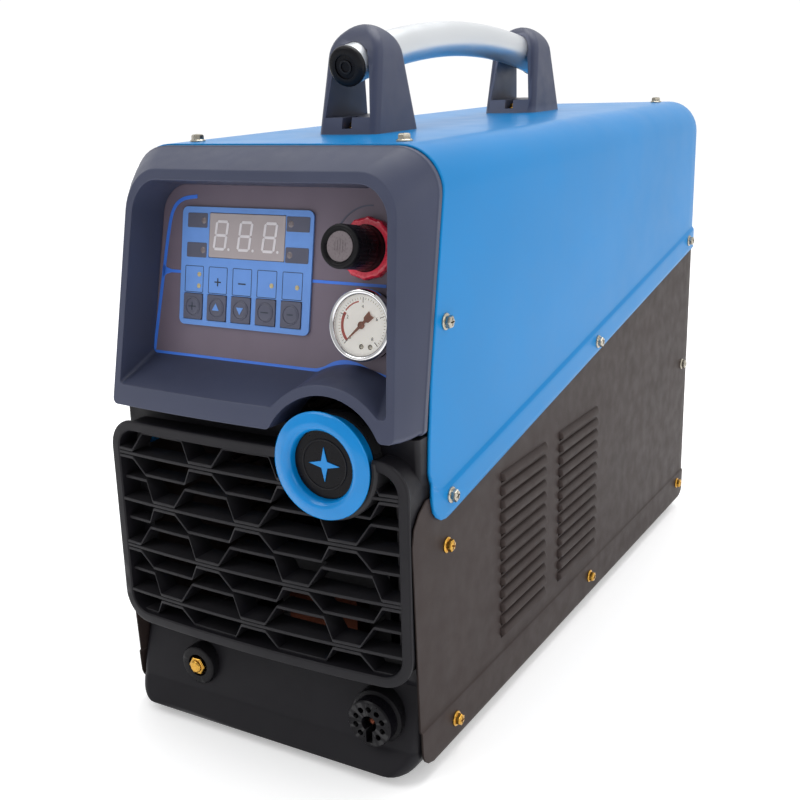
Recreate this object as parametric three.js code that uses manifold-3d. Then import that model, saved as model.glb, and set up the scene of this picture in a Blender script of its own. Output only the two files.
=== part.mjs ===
// Plasma cutter power unit: painted sheet-metal case with a moulded front, a carrying
// handle, a gas regulator with its gauge, the output sockets and the parts inside.
// Millimetres. +Z is up, the front faces -Y, and the origin is under the centre of the feet.
import * as THREE from 'three';
import { mergeVertices } from 'three/addons/utils/BufferGeometryUtils.js';
import Module from 'manifold-3d';

const wasm = await Module();
wasm.setup();

// ---- driving dimensions ----
const GAP = 0.3;                 // clearance between pieces that rest on each other
const SHEET = 1.5;               // case sheet thickness
const HALF_WIDTH = 111;          // outer half-width of the case sides
const FOOT_HEIGHT = 10;
const FLOOR_Z = 10;              // underside of the case
const REAR_Y = 269;              // rear edge of cover and side panels
const REACH_Y = 286;             // furthest front and rear reach of the whole unit
const TOP_Z = 376;               // cover top at TOP_Y
const TOP_Y = -228;
const TOP_SLOPE = 0.02925;       // the top rises towards the rear
const TOP_BEND = 27;             // radius of the cover's long edges
const LEAN = THREE.MathUtils.degToRad(9.6);   // the control face leans back
const PANEL = { y: -246, z: 245 };            // a point on the control face
const LIP = { y: -277.4, z: 221 };            // a point on the bezel's front lip plane
const BEZEL_BOTTOM = 217;
const BADGE = { x: 58, z: 200, r: 32.3, neck: 30.8, hole: 20.8 };
const GAUGE = { x: 68, v: 30, r: 21, out: 13 };
const REGULATOR = { x: 64.5, v: 73.5, r: 12.5, length: 33 };
const GRILLE = { y: -276.5, bottom: 65.6, top: 206.7, half: 111, corner: 20, band: 7 };
const SOCKET_Z = 39;
const OUTPUT_SOCKET_X = -57.5;
const TORCH_SOCKET_X = 81;
const HANDLE = { tube: 12.5, rise: 59, sag: 16.8, half: 149, bracketY: 125.5 };
const REAR_PANEL_Y = 262;
const FAN = { z: 215, half: 60, depth: 38 };
const SWITCH_PIVOT_Y = REAR_PANEL_Y + SHEET + 1.5;
const SWITCH_TILT = THREE.MathUtils.degToRad(25);    // the lever rests thrown upwards
const REAR = { glandX: 62, glandZ: 62, inletX: -62, inletZ: 62, switchX: 0, switchZ: 330 };
const REAR_HOLES = [250, 280];   // cutters reach from one y to the other through the panel
const TRAY_TOP = FLOOR_Z + 2 + GAP;          // level that the parts inside stand on
const SCREW = { shank: 2.4, hole: 3.2, head: 4.8, standOut: 5 };
const FRONT_BULGE = 5.6;         // the moulded front is crowned from side to side
const GAUGE_REST = THREE.MathUtils.degToRad(-135);   // pointer rests at the lower left
const TOP_SCREWS = [[-76, -211], [76, -211], [-76, 255], [76, 255]];

// ---- solids ----
function solid(geometry) {
  const bare = geometry.clone();
  bare.deleteAttribute('normal');
  bare.deleteAttribute('uv');
  const merged = mergeVertices(bare, 1e-4);
  return new wasm.Manifold(new wasm.Mesh({
    numProp: 3,
    vertProperties: new Float32Array(merged.attributes.position.array),
    triVerts: new Uint32Array(merged.index.array),
  }));
}

function geometryOf(body) {
  const data = body.getMesh();
  const geometry = new THREE.BufferGeometry();
  geometry.setAttribute('position', new THREE.BufferAttribute(data.vertProperties, 3));
  geometry.setIndex(new THREE.BufferAttribute(data.triVerts, 1));
  geometry.computeVertexNormals();
  return geometry;
}

const join = (pieces) => pieces.reduce((whole, piece) => whole.add(piece));
const cutAll = (body, tools) => tools.reduce((rest, tool) => rest.subtract(tool), body);

function box(low, high) {
  const size = high.map((value, i) => value - low[i]);
  const geometry = new THREE.BoxGeometry(...size);
  geometry.translate(...low.map((value, i) => value + size[i] / 2));
  return solid(geometry);
}

function extrudeOutline(points, depth) {
  const shape = new THREE.Shape(points.map(([a, b]) => new THREE.Vector2(a, b)));
  return new THREE.ExtrudeGeometry(shape, { depth, bevelEnabled: false });
}

// Outline of (y, z) points, extruded along X.
function prismX(points, x0, x1) {
  const geometry = extrudeOutline(points, x1 - x0);
  const turn = new THREE.Matrix4().makeBasis(
    new THREE.Vector3(0, 1, 0), new THREE.Vector3(0, 0, 1), new THREE.Vector3(1, 0, 0));
  geometry.applyMatrix4(turn);
  geometry.translate(x0, 0, 0);
  return solid(geometry);
}

// Outline of (x, z) points, extruded along Y.
function prismY(points, y0, y1) {
  const geometry = extrudeOutline(points, y1 - y0);
  geometry.rotateX(Math.PI / 2);
  geometry.translate(0, y1, 0);
  return solid(geometry);
}

// Outline of (x, y) points, extruded along Z.
function prismZ(points, z0, z1) {
  const geometry = extrudeOutline(points, z1 - z0);
  geometry.translate(0, 0, z0);
  return solid(geometry);
}

// Round bar or cone along Y; r0 is the radius at y0 and r1 the radius at y1.
function roundY(x, z, r0, r1, y0, y1, sides = 24) {
  const geometry = new THREE.CylinderGeometry(r1, r0, y1 - y0, sides);
  geometry.translate(x, (y0 + y1) / 2, z);
  return solid(geometry);
}

function roundZ(x, y, r, z0, z1, sides = 16) {
  const geometry = new THREE.CylinderGeometry(r, r, z1 - z0, sides);
  geometry.rotateX(Math.PI / 2);
  geometry.translate(x, y, (z0 + z1) / 2);
  return solid(geometry);
}

function roundX(y, z, r, x0, x1, sides = 6) {
  const geometry = new THREE.CylinderGeometry(r, r, x1 - x0, sides);
  geometry.rotateZ(Math.PI / 2);
  geometry.translate((x0 + x1) / 2, y, z);
  return solid(geometry);
}

// Twice the area inside a closed line of (a, b) points, positive when it runs anticlockwise.
function signedArea(points) {
  return points.reduce((sum, [a, b], i) => {
    const [nextA, nextB] = points[(i + 1) % points.length];
    return sum + a * nextB - nextA * b;
  }, 0);
}

// Turned piece about the Y axis; the profile is (radius, y) points from axis to axis.
function turnedY(profile, x, z, sides = 24) {
  const ordered = signedArea(profile) > 0 ? profile : [...profile].reverse();
  const points = ordered.map(([r, y]) => new THREE.Vector2(r, y));
  const geometry = new THREE.LatheGeometry(points, sides);
  geometry.translate(x, 0, z);
  return solid(geometry);
}

// Turned ring; the profile is a closed line that stays clear of the axis.
function turnedRing(profile, x, z, sides = 24) {
  return turnedY([...profile, profile[0]], x, z, sides);
}

// Rounded rectangle as (a, b) points; the radii are for the lower and the upper corners.
function roundedOutline(a0, a1, b0, b1, lower, upper, steps = 5) {
  const corners = [
    [a1 - lower, b0 + lower, lower, -90], [a1 - upper, b1 - upper, upper, 0],
    [a0 + upper, b1 - upper, upper, 90], [a0 + lower, b0 + lower, lower, 180],
  ];
  const points = [];
  for (const [a, b, radius, start] of corners) {
    for (let i = 0; i <= steps; i++) {
      const angle = THREE.MathUtils.degToRad(start + 90 * i / steps);
      points.push([a + radius * Math.cos(angle), b + radius * Math.sin(angle)]);
    }
  }
  return points;
}

// Outline with a few more points along each of its long straight runs.
function stepped(points, extra, longest = 20) {
  return points.flatMap((point, i) => {
    const next = points[(i + 1) % points.length];
    const run = Math.hypot(next[0] - point[0], next[1] - point[1]);
    const count = run > longest ? extra : 0;
    const between = Array.from({ length: count }, (_, j) => {
      const t = (j + 1) / (count + 1);
      return [point[0] + (next[0] - point[0]) * t, point[1] + (next[1] - point[1]) * t];
    });
    return [point, ...between];
  });
}

// Closed ring-shaped body through a list of loops that have the same number of points.
function ringLoft(loops) {
  const positions = loops.flat(2);
  const count = loops[0].length;
  const index = [];
  loops.forEach((loop, i) => {
    const next = (i + 1) % loops.length;
    for (let j = 0; j < count; j++) {
      const k = (j + 1) % count;
      index.push(i * count + j, i * count + k, next * count + k);
      index.push(i * count + j, next * count + k, next * count + j);
    }
  });
  const geometry = new THREE.BufferGeometry();
  geometry.setAttribute('position', new THREE.Float32BufferAttribute(positions, 3));
  geometry.setIndex(index);
  return solid(geometry);
}

// ---- materials ----
const paint = (color, roughness, metalness) =>
  new THREE.MeshStandardMaterial({ color, roughness, metalness });
const MATERIAL = {
  bluePaint: paint(0x2f94d2, 0.3, 0.1),
  blackPaint: paint(0x3a3231, 0.6, 0.1),
  slatePlastic: paint(0x3c4048, 0.5, 0),
  darkPlastic: paint(0x2c2b2e, 0.5, 0),
  blackPlastic: paint(0x141416, 0.35, 0),
  bluePlastic: paint(0x1d86cf, 0.15, 0),
  panelPrint: paint(0x4a4140, 0.5, 0),
  keypadPrint: paint(0x2f7fd6, 0.4, 0),
  keyPrint: paint(0x45434f, 0.5, 0),
  smokedWindow: paint(0xa9a5ab, 0.2, 0),
  redNut: paint(0xc8283c, 0.35, 0.2),
  chrome: paint(0xd8d8d8, 0.1, 1),
  dialWhite: paint(0xf2efe8, 0.5, 0),
  needleRed: paint(0xa8402a, 0.4, 0.2),
  clearGlass: paint(0xeef4f6, 0.05, 0),
  brass: paint(0xb98b35, 0.3, 1),
  copper: paint(0xb0603c, 0.35, 1),
  steel: paint(0x9a9a96, 0.35, 1),
  aluminium: paint(0xc9cbce, 0.3, 1),
  rubber: paint(0x1b1b1b, 0.9, 0),
  circuitBoard: paint(0x1f5a34, 0.5, 0),
  ferrite: paint(0x2b2b2d, 0.7, 0.1),
  hose: paint(0x20242a, 0.5, 0),
};

const unit = new THREE.Group();
// The control face has its own leaning frame: x, y outward when negative, v up the face.
const controlFace = new THREE.Group();
controlFace.position.set(0, PANEL.y, PANEL.z);
controlFace.rotation.x = -LEAN;
unit.add(controlFace);
// The handle has a frame lying on the sloping top, with its origin over the middle.
const handleFrame = new THREE.Group();
const topAt = (y) => TOP_Z + TOP_SLOPE * (y - TOP_Y);
handleFrame.position.set(0, 0, topAt(0));
handleFrame.rotation.x = Math.atan(TOP_SLOPE);
unit.add(handleFrame);

function place(name, body, material, group = unit) {
  const mesh = new THREE.Mesh(geometryOf(body), material);
  mesh.name = name;
  group.add(mesh);
}

const lipY = (z) => LIP.y + (z - LIP.z) * Math.tan(LEAN);
const panelY = (z) => PANEL.y + (z - PANEL.z) * Math.tan(LEAN);
const bulge = (x) => FRONT_BULGE * Math.max(0, 1 - (x / HALF_WIDTH) ** 2);
// Front edge of the cover: upright at its top and foot, leaning in between.
const COVER_EDGE = { z: 351, y: -230, lean: 0.175, foremost: -252.2, rearmost: -229.5 };
const coverEdgeY = (z) => THREE.MathUtils.clamp(
  COVER_EDGE.y - (COVER_EDGE.z - z) * COVER_EDGE.lean, COVER_EDGE.foremost, COVER_EDGE.rearmost);

// ---- case: tray, feet, side panels, cover, rear panel ----
function baseTray() {
  const half = HALF_WIDTH - SHEET - 1 - GAP;
  const [front, rear] = [-243, REAR_PANEL_Y - GAP];
  const floor = box([-half, front, FLOOR_Z + GAP], [half, rear, FLOOR_Z + 2]);
  const flanges = [-1, 1].map((side) => {
    const [inner, outer] = [side * (half - SHEET), side * half].sort((a, b) => a - b);
    return box([inner, front, FLOOR_Z + GAP], [outer, rear, FLOOR_Z + 8]);
  });
  place('base_tray', join([floor, ...flanges]), MATERIAL.blackPaint);
}

function feet() {
  for (const [end, y] of [['front', -215], ['rear', 215]]) {
    for (const [side, x] of [['left', -82], ['right', 82]]) {
      const geometry = new THREE.CylinderGeometry(15, 12, FOOT_HEIGHT - GAP, 12);
      geometry.rotateX(Math.PI / 2);
      geometry.translate(x, y, (FOOT_HEIGHT - GAP) / 2);
      place(`foot_${end}_${side}`, solid(geometry), MATERIAL.rubber);
    }
  }
}

// Height of the cover's slanting lower edge, and of the joggle line above it.
const EDGE_SLOPE = 0.1905;
const coverEdgeZ = (y) => 164.7 + (y + 218) * EDGE_SLOPE;
const JOGGLE_RISE = 18;
const PANEL_LAP = 14;
const BOTTOM_STEP_Z = 36;
const BOTTOM_STEP = 1.2;         // the side panel stands out by this much below that level
const SCREWS = [
  [-230, 278], [-229, 174], [15, 217], [253, 265], [-232, 143],
  [-225, 23], [9.5, 25], [250, 27], [253, 147],
];
const COVER_SCREWS = SCREWS.slice(0, 4);
const isLapped = (i) => i > 0 && i < COVER_SCREWS.length;

function sidePanelOutline(top) {
  return [
    [-267, FLOOR_Z], [259, FLOOR_Z], [266, FLOOR_Z + 3], [REAR_Y, FLOOR_Z + 10],
    [REAR_Y, top(REAR_Y)], [-249, top(-249)], [-256, 179], [-264.8, 173.6],
    [-270.9, 166], [-273, 155.7],
  ];
}

// Louvre section as (x, z) points: a hood outside the sheet, open along its lower edge.
const LOUVRE = { pitch: 9.2, first: 50, count: 13, columns: [[-157, -82], [-57, 21]] };
function louvres(face) {
  const hood = [[-0.5, 3.6], [2.6, -0.4], [2.6, -1.4], [-0.5, -1.4]];
  const mouth = [[-4, 1.4], [0.2, 1.4], [1.5, -0.6], [1.5, -2.6], [-4, -2.6]];
  const hoods = [];
  const mouths = [];
  for (const [y0, y1] of LOUVRE.columns) {
    for (let row = 0; row < LOUVRE.count; row++) {
      const z = LOUVRE.first + row * LOUVRE.pitch;
      const at = (points) => points.map(([x, dz]) => [face + x, z + dz]);
      hoods.push(prismY(at(hood), y0, y1));
      mouths.push(prismY(at(mouth), y0 + SHEET, y1 - SHEET));
    }
  }
  return { hoods, mouths };
}

function sidePanels() {
  const outer = HALF_WIDTH;
  const sheet = prismX(sidePanelOutline((y) => coverEdgeZ(y) + PANEL_LAP), outer - SHEET, outer);
  const lowerStrip = prismX([
    [-267, FLOOR_Z], [259, FLOOR_Z], [266, FLOOR_Z + 3], [REAR_Y, FLOOR_Z + 10],
    [REAR_Y, BOTTOM_STEP_Z], [-268, BOTTOM_STEP_Z],
  ], outer - SHEET, outer + BOTTOM_STEP);
  const { hoods, mouths } = louvres(outer);
  const holes = SCREWS.map(([y, z]) => roundX(y, z, SCREW.hole, outer - 5, outer + 5));
  const right = cutAll(join([sheet, lowerStrip, ...hoods]), [...mouths, ...holes]);
  place('side_panel_right', right, MATERIAL.blackPaint);
  place('side_panel_left', right.mirror([1, 0, 0]), MATERIAL.blackPaint);
}

// The sloping top is a level section sheared along Y.
function sheared(body) {
  const shear = new THREE.Matrix4().set(
    1, 0, 0, 0, 0, 1, 0, 0, 0, TOP_SLOPE, 1, -TOP_SLOPE * TOP_Y, 0, 0, 0, 1);
  const geometry = geometryOf(body);
  geometry.applyMatrix4(shear);
  return solid(geometry);
}

// Front edge of the cover as (y, z) points from the top down, and its rounded lower corner.
const COVER_FRONT = [[-229.5, 420], [-229.5, 354], [-248, 248], [-252, 205], [-252.6, 184]];
const COVER_CORNER = [[-251.5, 173], [-245, 165.5], [-236, 162]];

function topCover() {
  const section = (half, top, bend) =>
    roundedOutline(-half, half, 100, top, 1, bend, 8);
  const outer = sheared(prismY(section(HALF_WIDTH, TOP_Z, TOP_BEND), -300, 300));
  const inner = sheared(prismY(
    section(HALF_WIDTH - SHEET, TOP_Z - SHEET, TOP_BEND - SHEET), -310, 310));
  const side = prismX([
    ...COVER_FRONT.slice(0, 4), [-250, coverEdgeZ(-250) + JOGGLE_RISE],
    [REAR_Y, coverEdgeZ(REAR_Y) + JOGGLE_RISE], [REAR_Y, 420],
  ], -120, 120);
  const lap = [
    ...COVER_FRONT.slice(3), ...COVER_CORNER, [-218, coverEdgeZ(-218)],
    [REAR_Y, coverEdgeZ(REAR_Y)], [REAR_Y, coverEdgeZ(REAR_Y) + JOGGLE_RISE + 2],
    [-250, coverEdgeZ(-250) + JOGGLE_RISE + 2],
  ];
  const lapInner = HALF_WIDTH + GAP;
  const laps = prismX(lap, HALF_WIDTH - SHEET, lapInner + SHEET)
    .subtract(prismX(sidePanelOutline((y) => coverEdgeZ(y) + PANEL_LAP + 1), 100, lapInner));
  const shell = outer.intersect(side).subtract(inner);
  const cover = join([shell, laps, laps.mirror([1, 0, 0])]);
  const holes = COVER_SCREWS.flatMap(([y, z]) => [
    roundX(y, z, SCREW.hole, 100, 120), roundX(y, z, SCREW.hole, -120, -100)]);
  const topHoles = TOP_SCREWS.map(([x, y]) => roundZ(x, y, SCREW.hole, 360, 400, 6));
  place('top_cover', cutAll(cover, [...holes, ...topHoles]), MATERIAL.bluePaint);
}

// Screws of one face, held by the slim rail behind the sheet that they thread into.
function sideFixings() {
  const inner = HALF_WIDTH - SHEET - GAP;
  const railDepth = 1;
  const rail = (points) => {
    const strips = [];
    for (let i = 0; i + 1 < points.length; i++) {
      const [a, b] = [points[i], points[i + 1]];
      const along = new THREE.Vector2(b[0] - a[0], b[1] - a[1]).normalize();
      const across = [-along.y * 4, along.x * 4];
      strips.push(prismX([
        [a[0] + across[0], a[1] + across[1]], [a[0] - across[0], a[1] - across[1]],
        [b[0] - across[0], b[1] - across[1]], [b[0] + across[0], b[1] + across[1]],
      ], inner - railDepth, inner));
    }
    return strips;
  };
  const rails = [
    ...rail([SCREWS[0], SCREWS[1], SCREWS[4], SCREWS[5]]),
    ...rail([SCREWS[1], SCREWS[2], SCREWS[3], SCREWS[8], SCREWS[7]]),
    ...rail([SCREWS[5], SCREWS[6], SCREWS[7]]),
  ];
  const screws = SCREWS.flatMap(([y, z], i) => {
    let face = HALF_WIDTH;
    if (isLapped(i)) face += SHEET + GAP;
    if (z < BOTTOM_STEP_Z) face += BOTTOM_STEP;
    return [
      roundX(y, z, SCREW.shank, inner - railDepth, face + 1, 4),
      roundX(y, z, SCREW.head, face + GAP, face + SCREW.standOut, 6),
    ];
  });
  const right = join([...rails, ...screws]);
  place('fixings_right', right, MATERIAL.steel);
  place('fixings_left', right.mirror([1, 0, 0]), MATERIAL.steel);
}

function topFixings() {
  const under = 5;
  const screws = TOP_SCREWS.flatMap(([x, y]) => {
    const top = topAt(y);
    return [
      roundZ(x, y, SCREW.shank, top - under - 1, top + 2, 4),
      roundZ(x, y, SCREW.head, top + 0.5, top + SCREW.standOut, 6),
    ];
  });
  const railAt = (x) => prismX([
    [-216, topAt(-216) - under - 1], [260, topAt(260) - under - 1],
    [260, topAt(260) - under], [-216, topAt(-216) - under],
  ], x - 4, x + 4);
  const cross = box([-76, 248, topAt(255) - under - 1.2], [76, 256, topAt(255) - under - 0.2]);
  place('fixings_top', join([...screws, railAt(-76), railAt(76), cross]), MATERIAL.steel);
}

function rearPanel() {
  const sheet = prismY(
    roundedOutline(-108.6, 108.6, FLOOR_Z + 3, 386, 3, 24), REAR_PANEL_Y, REAR_PANEL_Y + SHEET);
  const holes = [
    roundY(0, FAN.z, 56, 56, ...REAR_HOLES, 32),
    roundY(REAR.glandX, REAR.glandZ, 11.3, 11.3, ...REAR_HOLES, 24),
    roundY(REAR.inletX, REAR.inletZ, 7.3, 7.3, ...REAR_HOLES, 24),
    box([REAR.switchX - 15.3, REAR_HOLES[0], REAR.switchZ - 25.3],
      [REAR.switchX + 15.3, REAR_HOLES[1], REAR.switchZ + 25.3]),
  ];
  place('rear_panel', cutAll(sheet, holes), MATERIAL.blackPaint);
}

// ---- moulded front ----
// Loop around the bezel: a rounded rectangle whose sides taper towards the top.
function bezelLoop({ halfLow, halfHigh, low, high, lower, upper, depth, crowned }) {
  const half = (z) => halfLow + (halfHigh - halfLow) * (z - low) / (high - low);
  const points = stepped(roundedOutline(-halfLow, halfLow, low, high, lower, upper, 6), 5);
  const front = (x) => (crowned ? bulge(x) : 0);
  return points.map(([x, z]) => [x * half(z) / halfLow, depth(z) - front(x), z]);
}

function upperBezel() {
  const wall = 2.5;
  const loops = [
    { halfLow: 110.8, halfHigh: 110.8, low: BEZEL_BOTTOM, high: 375, lower: 3, upper: 27,
      depth: (z) => coverEdgeY(z) - 0.8 },
    { halfLow: 103.7, halfHigh: 96, low: BEZEL_BOTTOM, high: 362.5, lower: 4, upper: 25,
      depth: lipY, crowned: true },
    { halfLow: 97.8, halfHigh: 91, low: 230, high: 356, lower: 5, upper: 20,
      depth: lipY, crowned: true },
    { halfLow: 95, halfHigh: 89, low: 244.5, high: 351, lower: 3, upper: 18,
      depth: (z) => panelY(z) - GAP },
    { halfLow: 95 + wall, halfHigh: 89 + wall, low: 244.5 - wall, high: 351 + wall,
      lower: 5, upper: 20, depth: (z) => panelY(z) - GAP },
    { halfLow: 96.6 + wall, halfHigh: 89.6 + wall, low: 230 - wall, high: 356 + wall,
      lower: 7, upper: 22, depth: (z) => lipY(z) + wall, crowned: true },
    { halfLow: 103.7 - wall, halfHigh: 96 - wall, low: BEZEL_BOTTOM + wall,
      high: 362.5 - wall, lower: 3, upper: 23, depth: (z) => lipY(z) + wall,
      crowned: true },
    { halfLow: 106.5, halfHigh: 106.5, low: BEZEL_BOTTOM + wall, high: 370.5, lower: 2,
      upper: 22, depth: (z) => coverEdgeY(z) + 7 },
    { halfLow: 109.1, halfHigh: 109.1, low: BEZEL_BOTTOM, high: 373.2, lower: 3,
      upper: 25, depth: (z) => coverEdgeY(z) + 7 },
    { halfLow: 109.1, halfHigh: 109.1, low: BEZEL_BOTTOM, high: 373.2, lower: 3,
      upper: 25, depth: (z) => coverEdgeY(z) - 0.8 },
  ].map(bezelLoop);
  const shell = ringLoft(loops);
  const humpTop = 262;
  const humpFront = (z) => lipY(z) - bulge(BADGE.x);
  const sillRegion = prismX([
    [humpFront(BEZEL_BOTTOM), BEZEL_BOTTOM], [panelY(BEZEL_BOTTOM) - GAP, BEZEL_BOTTOM],
    [panelY(humpTop) - GAP, humpTop], [humpFront(humpTop), humpTop],
  ], 5, 100);
  const hump = roundY(BADGE.x, BADGE.z, 46, 51, -282, -243, 48).intersect(sillRegion);
  const pocket = roundY(BADGE.x, BADGE.z, 40, 40, -300, -256, 48);
  place('upper_bezel', shell.add(hump).subtract(pocket), MATERIAL.slatePlastic);
}

// Lower fascia: a chin, a leaning strip with the sockets, and the wall behind the grille.
const FASCIA = { half: 109.1, wall: 2.5, skirt: 6, corner: 19, back: -246, face: -261,
  top: 215.5 };
// Front line of its side section as (y, z) points, from the chin upward.
const FASCIA_FRONT = [
  [-275, FASCIA.skirt], [-277.5, FASCIA.skirt], [-280, 7.5], [-270.5, 21], [-259, 60],
  [FASCIA.face, 64],
];
function fasciaSection() {
  const { wall, back, face, top } = FASCIA;
  const ledge = FLOOR_Z + GAP;
  return [
    ...FASCIA_FRONT, [face, top], [face + wall, top], [face + wall, 64], [-259 + wall, 59],
    [-268, 22], [-273.6, ledge + wall], [back, ledge + wall], [back, ledge], [-275, ledge],
  ];
}

function lowerFascia() {
  const { half, wall, skirt, corner, face, top } = FASCIA;
  const outline = roundedOutline(-half, half, skirt, top, corner, 3);
  const front = prismX(fasciaSection(), -half, half).intersect(prismY(outline, -290, -240));
  const sideWall = prismX([
    [-245, skirt + corner], [-269.3, skirt + corner], [-259, 60], [face, 64], [face, top],
    [-248, top],
  ], half - wall, half);
  const airOpening = prismY(roundedOutline(-97, 97, 76, 196, 12, 12, 4), -270, -250);
  const keep = roundY(BADGE.x, BADGE.z, 36, 36, -270, -250);
  const body = join([front, sideWall, sideWall.mirror([1, 0, 0])])
    .subtract(airOpening.subtract(keep));
  const holes = [
    roundY(OUTPUT_SOCKET_X, SOCKET_Z, 11.4, 11.4, -300, -240, 32),
    roundY(TORCH_SOCKET_X, SOCKET_Z, 12.4, 12.4, -300, -240, 32),
  ];
  place('lower_fascia', cutAll(body, holes), MATERIAL.darkPlastic);
}

// Each row of cells is a level shelf between two shelves bent into trapezoid waves.
const WAVE = { pitch: 67.7, wide: 34, narrow: 18.6, wall: 1.7, levels: 4, first: 184.2,
  step: 32.4 };
const WAVE_SHELVES = [
  { wide: 14.4, narrow: 2.4 }, { wide: 0, narrow: 0 }, { wide: -14, narrow: -2.6 },
];
function waveShelf(level, { wide, narrow }, phase) {
  const corners = [];
  for (let i = -2; i <= 2; i++) {
    const x = i * WAVE.pitch + phase;
    corners.push([x - WAVE.wide / 2, level + wide], [x + WAVE.wide / 2, level + wide]);
    corners.push([x + WAVE.pitch / 2 - WAVE.narrow / 2, level + narrow]);
    corners.push([x + WAVE.pitch / 2 + WAVE.narrow / 2, level + narrow]);
  }
  const above = corners.map(([x, z]) => [x, z + WAVE.wall / 2]);
  const below = corners.map(([x, z]) => [x, z - WAVE.wall / 2]).reverse();
  return prismY([...above, ...below], GRILLE.y + 1, GRILLE.y + 12);
}

// Rounded outline of the grille, inset from its outer edge.
function grilleOutline(inset, rise = inset) {
  const { half, bottom, top, corner } = GRILLE;
  const radius = corner - inset;
  return stepped(roundedOutline(
    -half + inset, half - inset, bottom + rise, top - rise, radius, radius), 7);
}

function frontGrille() {
  const { y, band } = GRILLE;
  const back = y + 13;
  const rim = prismY(grilleOutline(0), y, y + 2.8);
  const inset = prismY(grilleOutline(3.4, 2.4), y, back);
  const mouth = prismY(grilleOutline(band), y - 5, back + 5);
  const badgeRim = roundY(BADGE.x, BADGE.z, 38, 38, y, back, 48);
  const frame = rim.add(inset).subtract(mouth).add(badgeRim.intersect(inset));
  const shelves = [];
  for (let row = 0; row < WAVE.levels; row++) {
    const phase = row % 2 === 0 ? 0 : WAVE.pitch / 2;
    const level = WAVE.first - row * WAVE.step;
    shelves.push(...WAVE_SHELVES.map((shape) => waveShelf(level, shape, phase)));
  }
  const inside = prismY(grilleOutline(4, 3), y, back);
  const space = BADGE.neck + 0.4;
  const badgeSpace = roundY(BADGE.x, BADGE.z, space, space, y - 8, back + 5, 48);
  const flat = frame.add(join(shelves).intersect(inside)).subtract(badgeSpace);
  const crowned = flat.warp((point) => {
    if (point[1] < y + 6) point[1] -= bulge(point[0]);
  });
  place('front_grille', crowned, MATERIAL.darkPlastic);
}

function badge() {
  const { x, z, r, neck, hole } = BADGE;
  const ring = turnedRing([
    [hole, -270], [hole, -282.6], [22, -284.6], [25, -REACH_Y], [27, -285.7], [31.6, -284],
    [r, -283.2], [r, -282.3], [neck, -282.1], [neck, -270],
  ], x, z, 40);
  place('badge_ring', ring, MATERIAL.bluePlastic);
  const face = hole - 0.4;
  const seat = -FASCIA.face + GAP;
  const disc = turnedY([
    [0, -279.5], [face, -279.5], [face, -269.7], [neck - 2, -269.7], [neck - 2, -seat],
    [0, -seat],
  ], x, z, 32);
  place('badge_disc', disc, MATERIAL.blackPlastic);
}

// ---- control face, in its leaning frame ----
const KEY = { count: 5, first: -62.9, pitch: 18.9, width: 14.8, height: 15.9, v: 31.6 };
const DISPLAY = { x0: -52, x1: 5.7, v0: 62.9, v1: 90.2 };
const KEYPAD = { x0: -74, x1: 26, v0: 19.9, v1: 93.8, thickness: 1.2 };

function controlPanel() {
  const plate = prismY(roundedOutline(-98, 98, -6, 112, 3, 20), 0, 2.5);
  const holes = [
    roundY(GAUGE.x, GAUGE.v, 17.3, 17.3, -5, 10, 40),
    roundY(REGULATOR.x, REGULATOR.v, 11, 11, -5, 10, 32),
  ];
  place('control_panel', cutAll(plate, holes), MATERIAL.panelPrint, controlFace);
}

function keypad() {
  const { x0, x1, v0, v1, thickness } = KEYPAD;
  const plate = prismY(roundedOutline(x0, x1, v0, v1, 4, 4), -GAP - thickness, -GAP);
  const clearance = 0.35;
  const holes = [box(
    [DISPLAY.x0 - GAP, -5, DISPLAY.v0 - GAP], [DISPLAY.x1 + GAP, 5, DISPLAY.v1 + GAP])];
  for (let i = 0; i < KEY.count; i++) {
    const x = KEY.first + i * KEY.pitch;
    const halfWidth = KEY.width / 2 + clearance;
    const halfHeight = KEY.height / 2 + clearance;
    holes.push(box(
      [x - halfWidth, -5, KEY.v - halfHeight], [x + halfWidth, 5, KEY.v + halfHeight]));
  }
  place('keypad_overlay', cutAll(plate, holes), MATERIAL.keypadPrint, controlFace);
  const window = box([DISPLAY.x0, -1.7, DISPLAY.v0], [DISPLAY.x1, -GAP, DISPLAY.v1]);
  place('display_window', window, MATERIAL.smokedWindow, controlFace);
  for (let i = 0; i < KEY.count; i++) {
    const x = KEY.first + i * KEY.pitch;
    const cap = prismY(roundedOutline(
      x - KEY.width / 2, x + KEY.width / 2, KEY.v - KEY.height / 2, KEY.v + KEY.height / 2,
      1.2, 1.2, 2), -2.2, -0.9);
    const dome = roundY(x, KEY.v, 4.6, 5.4, -2.7, -2, 12);
    place(`key_${i + 1}`, cap.add(dome), MATERIAL.keyPrint, controlFace);
  }
}

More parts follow.
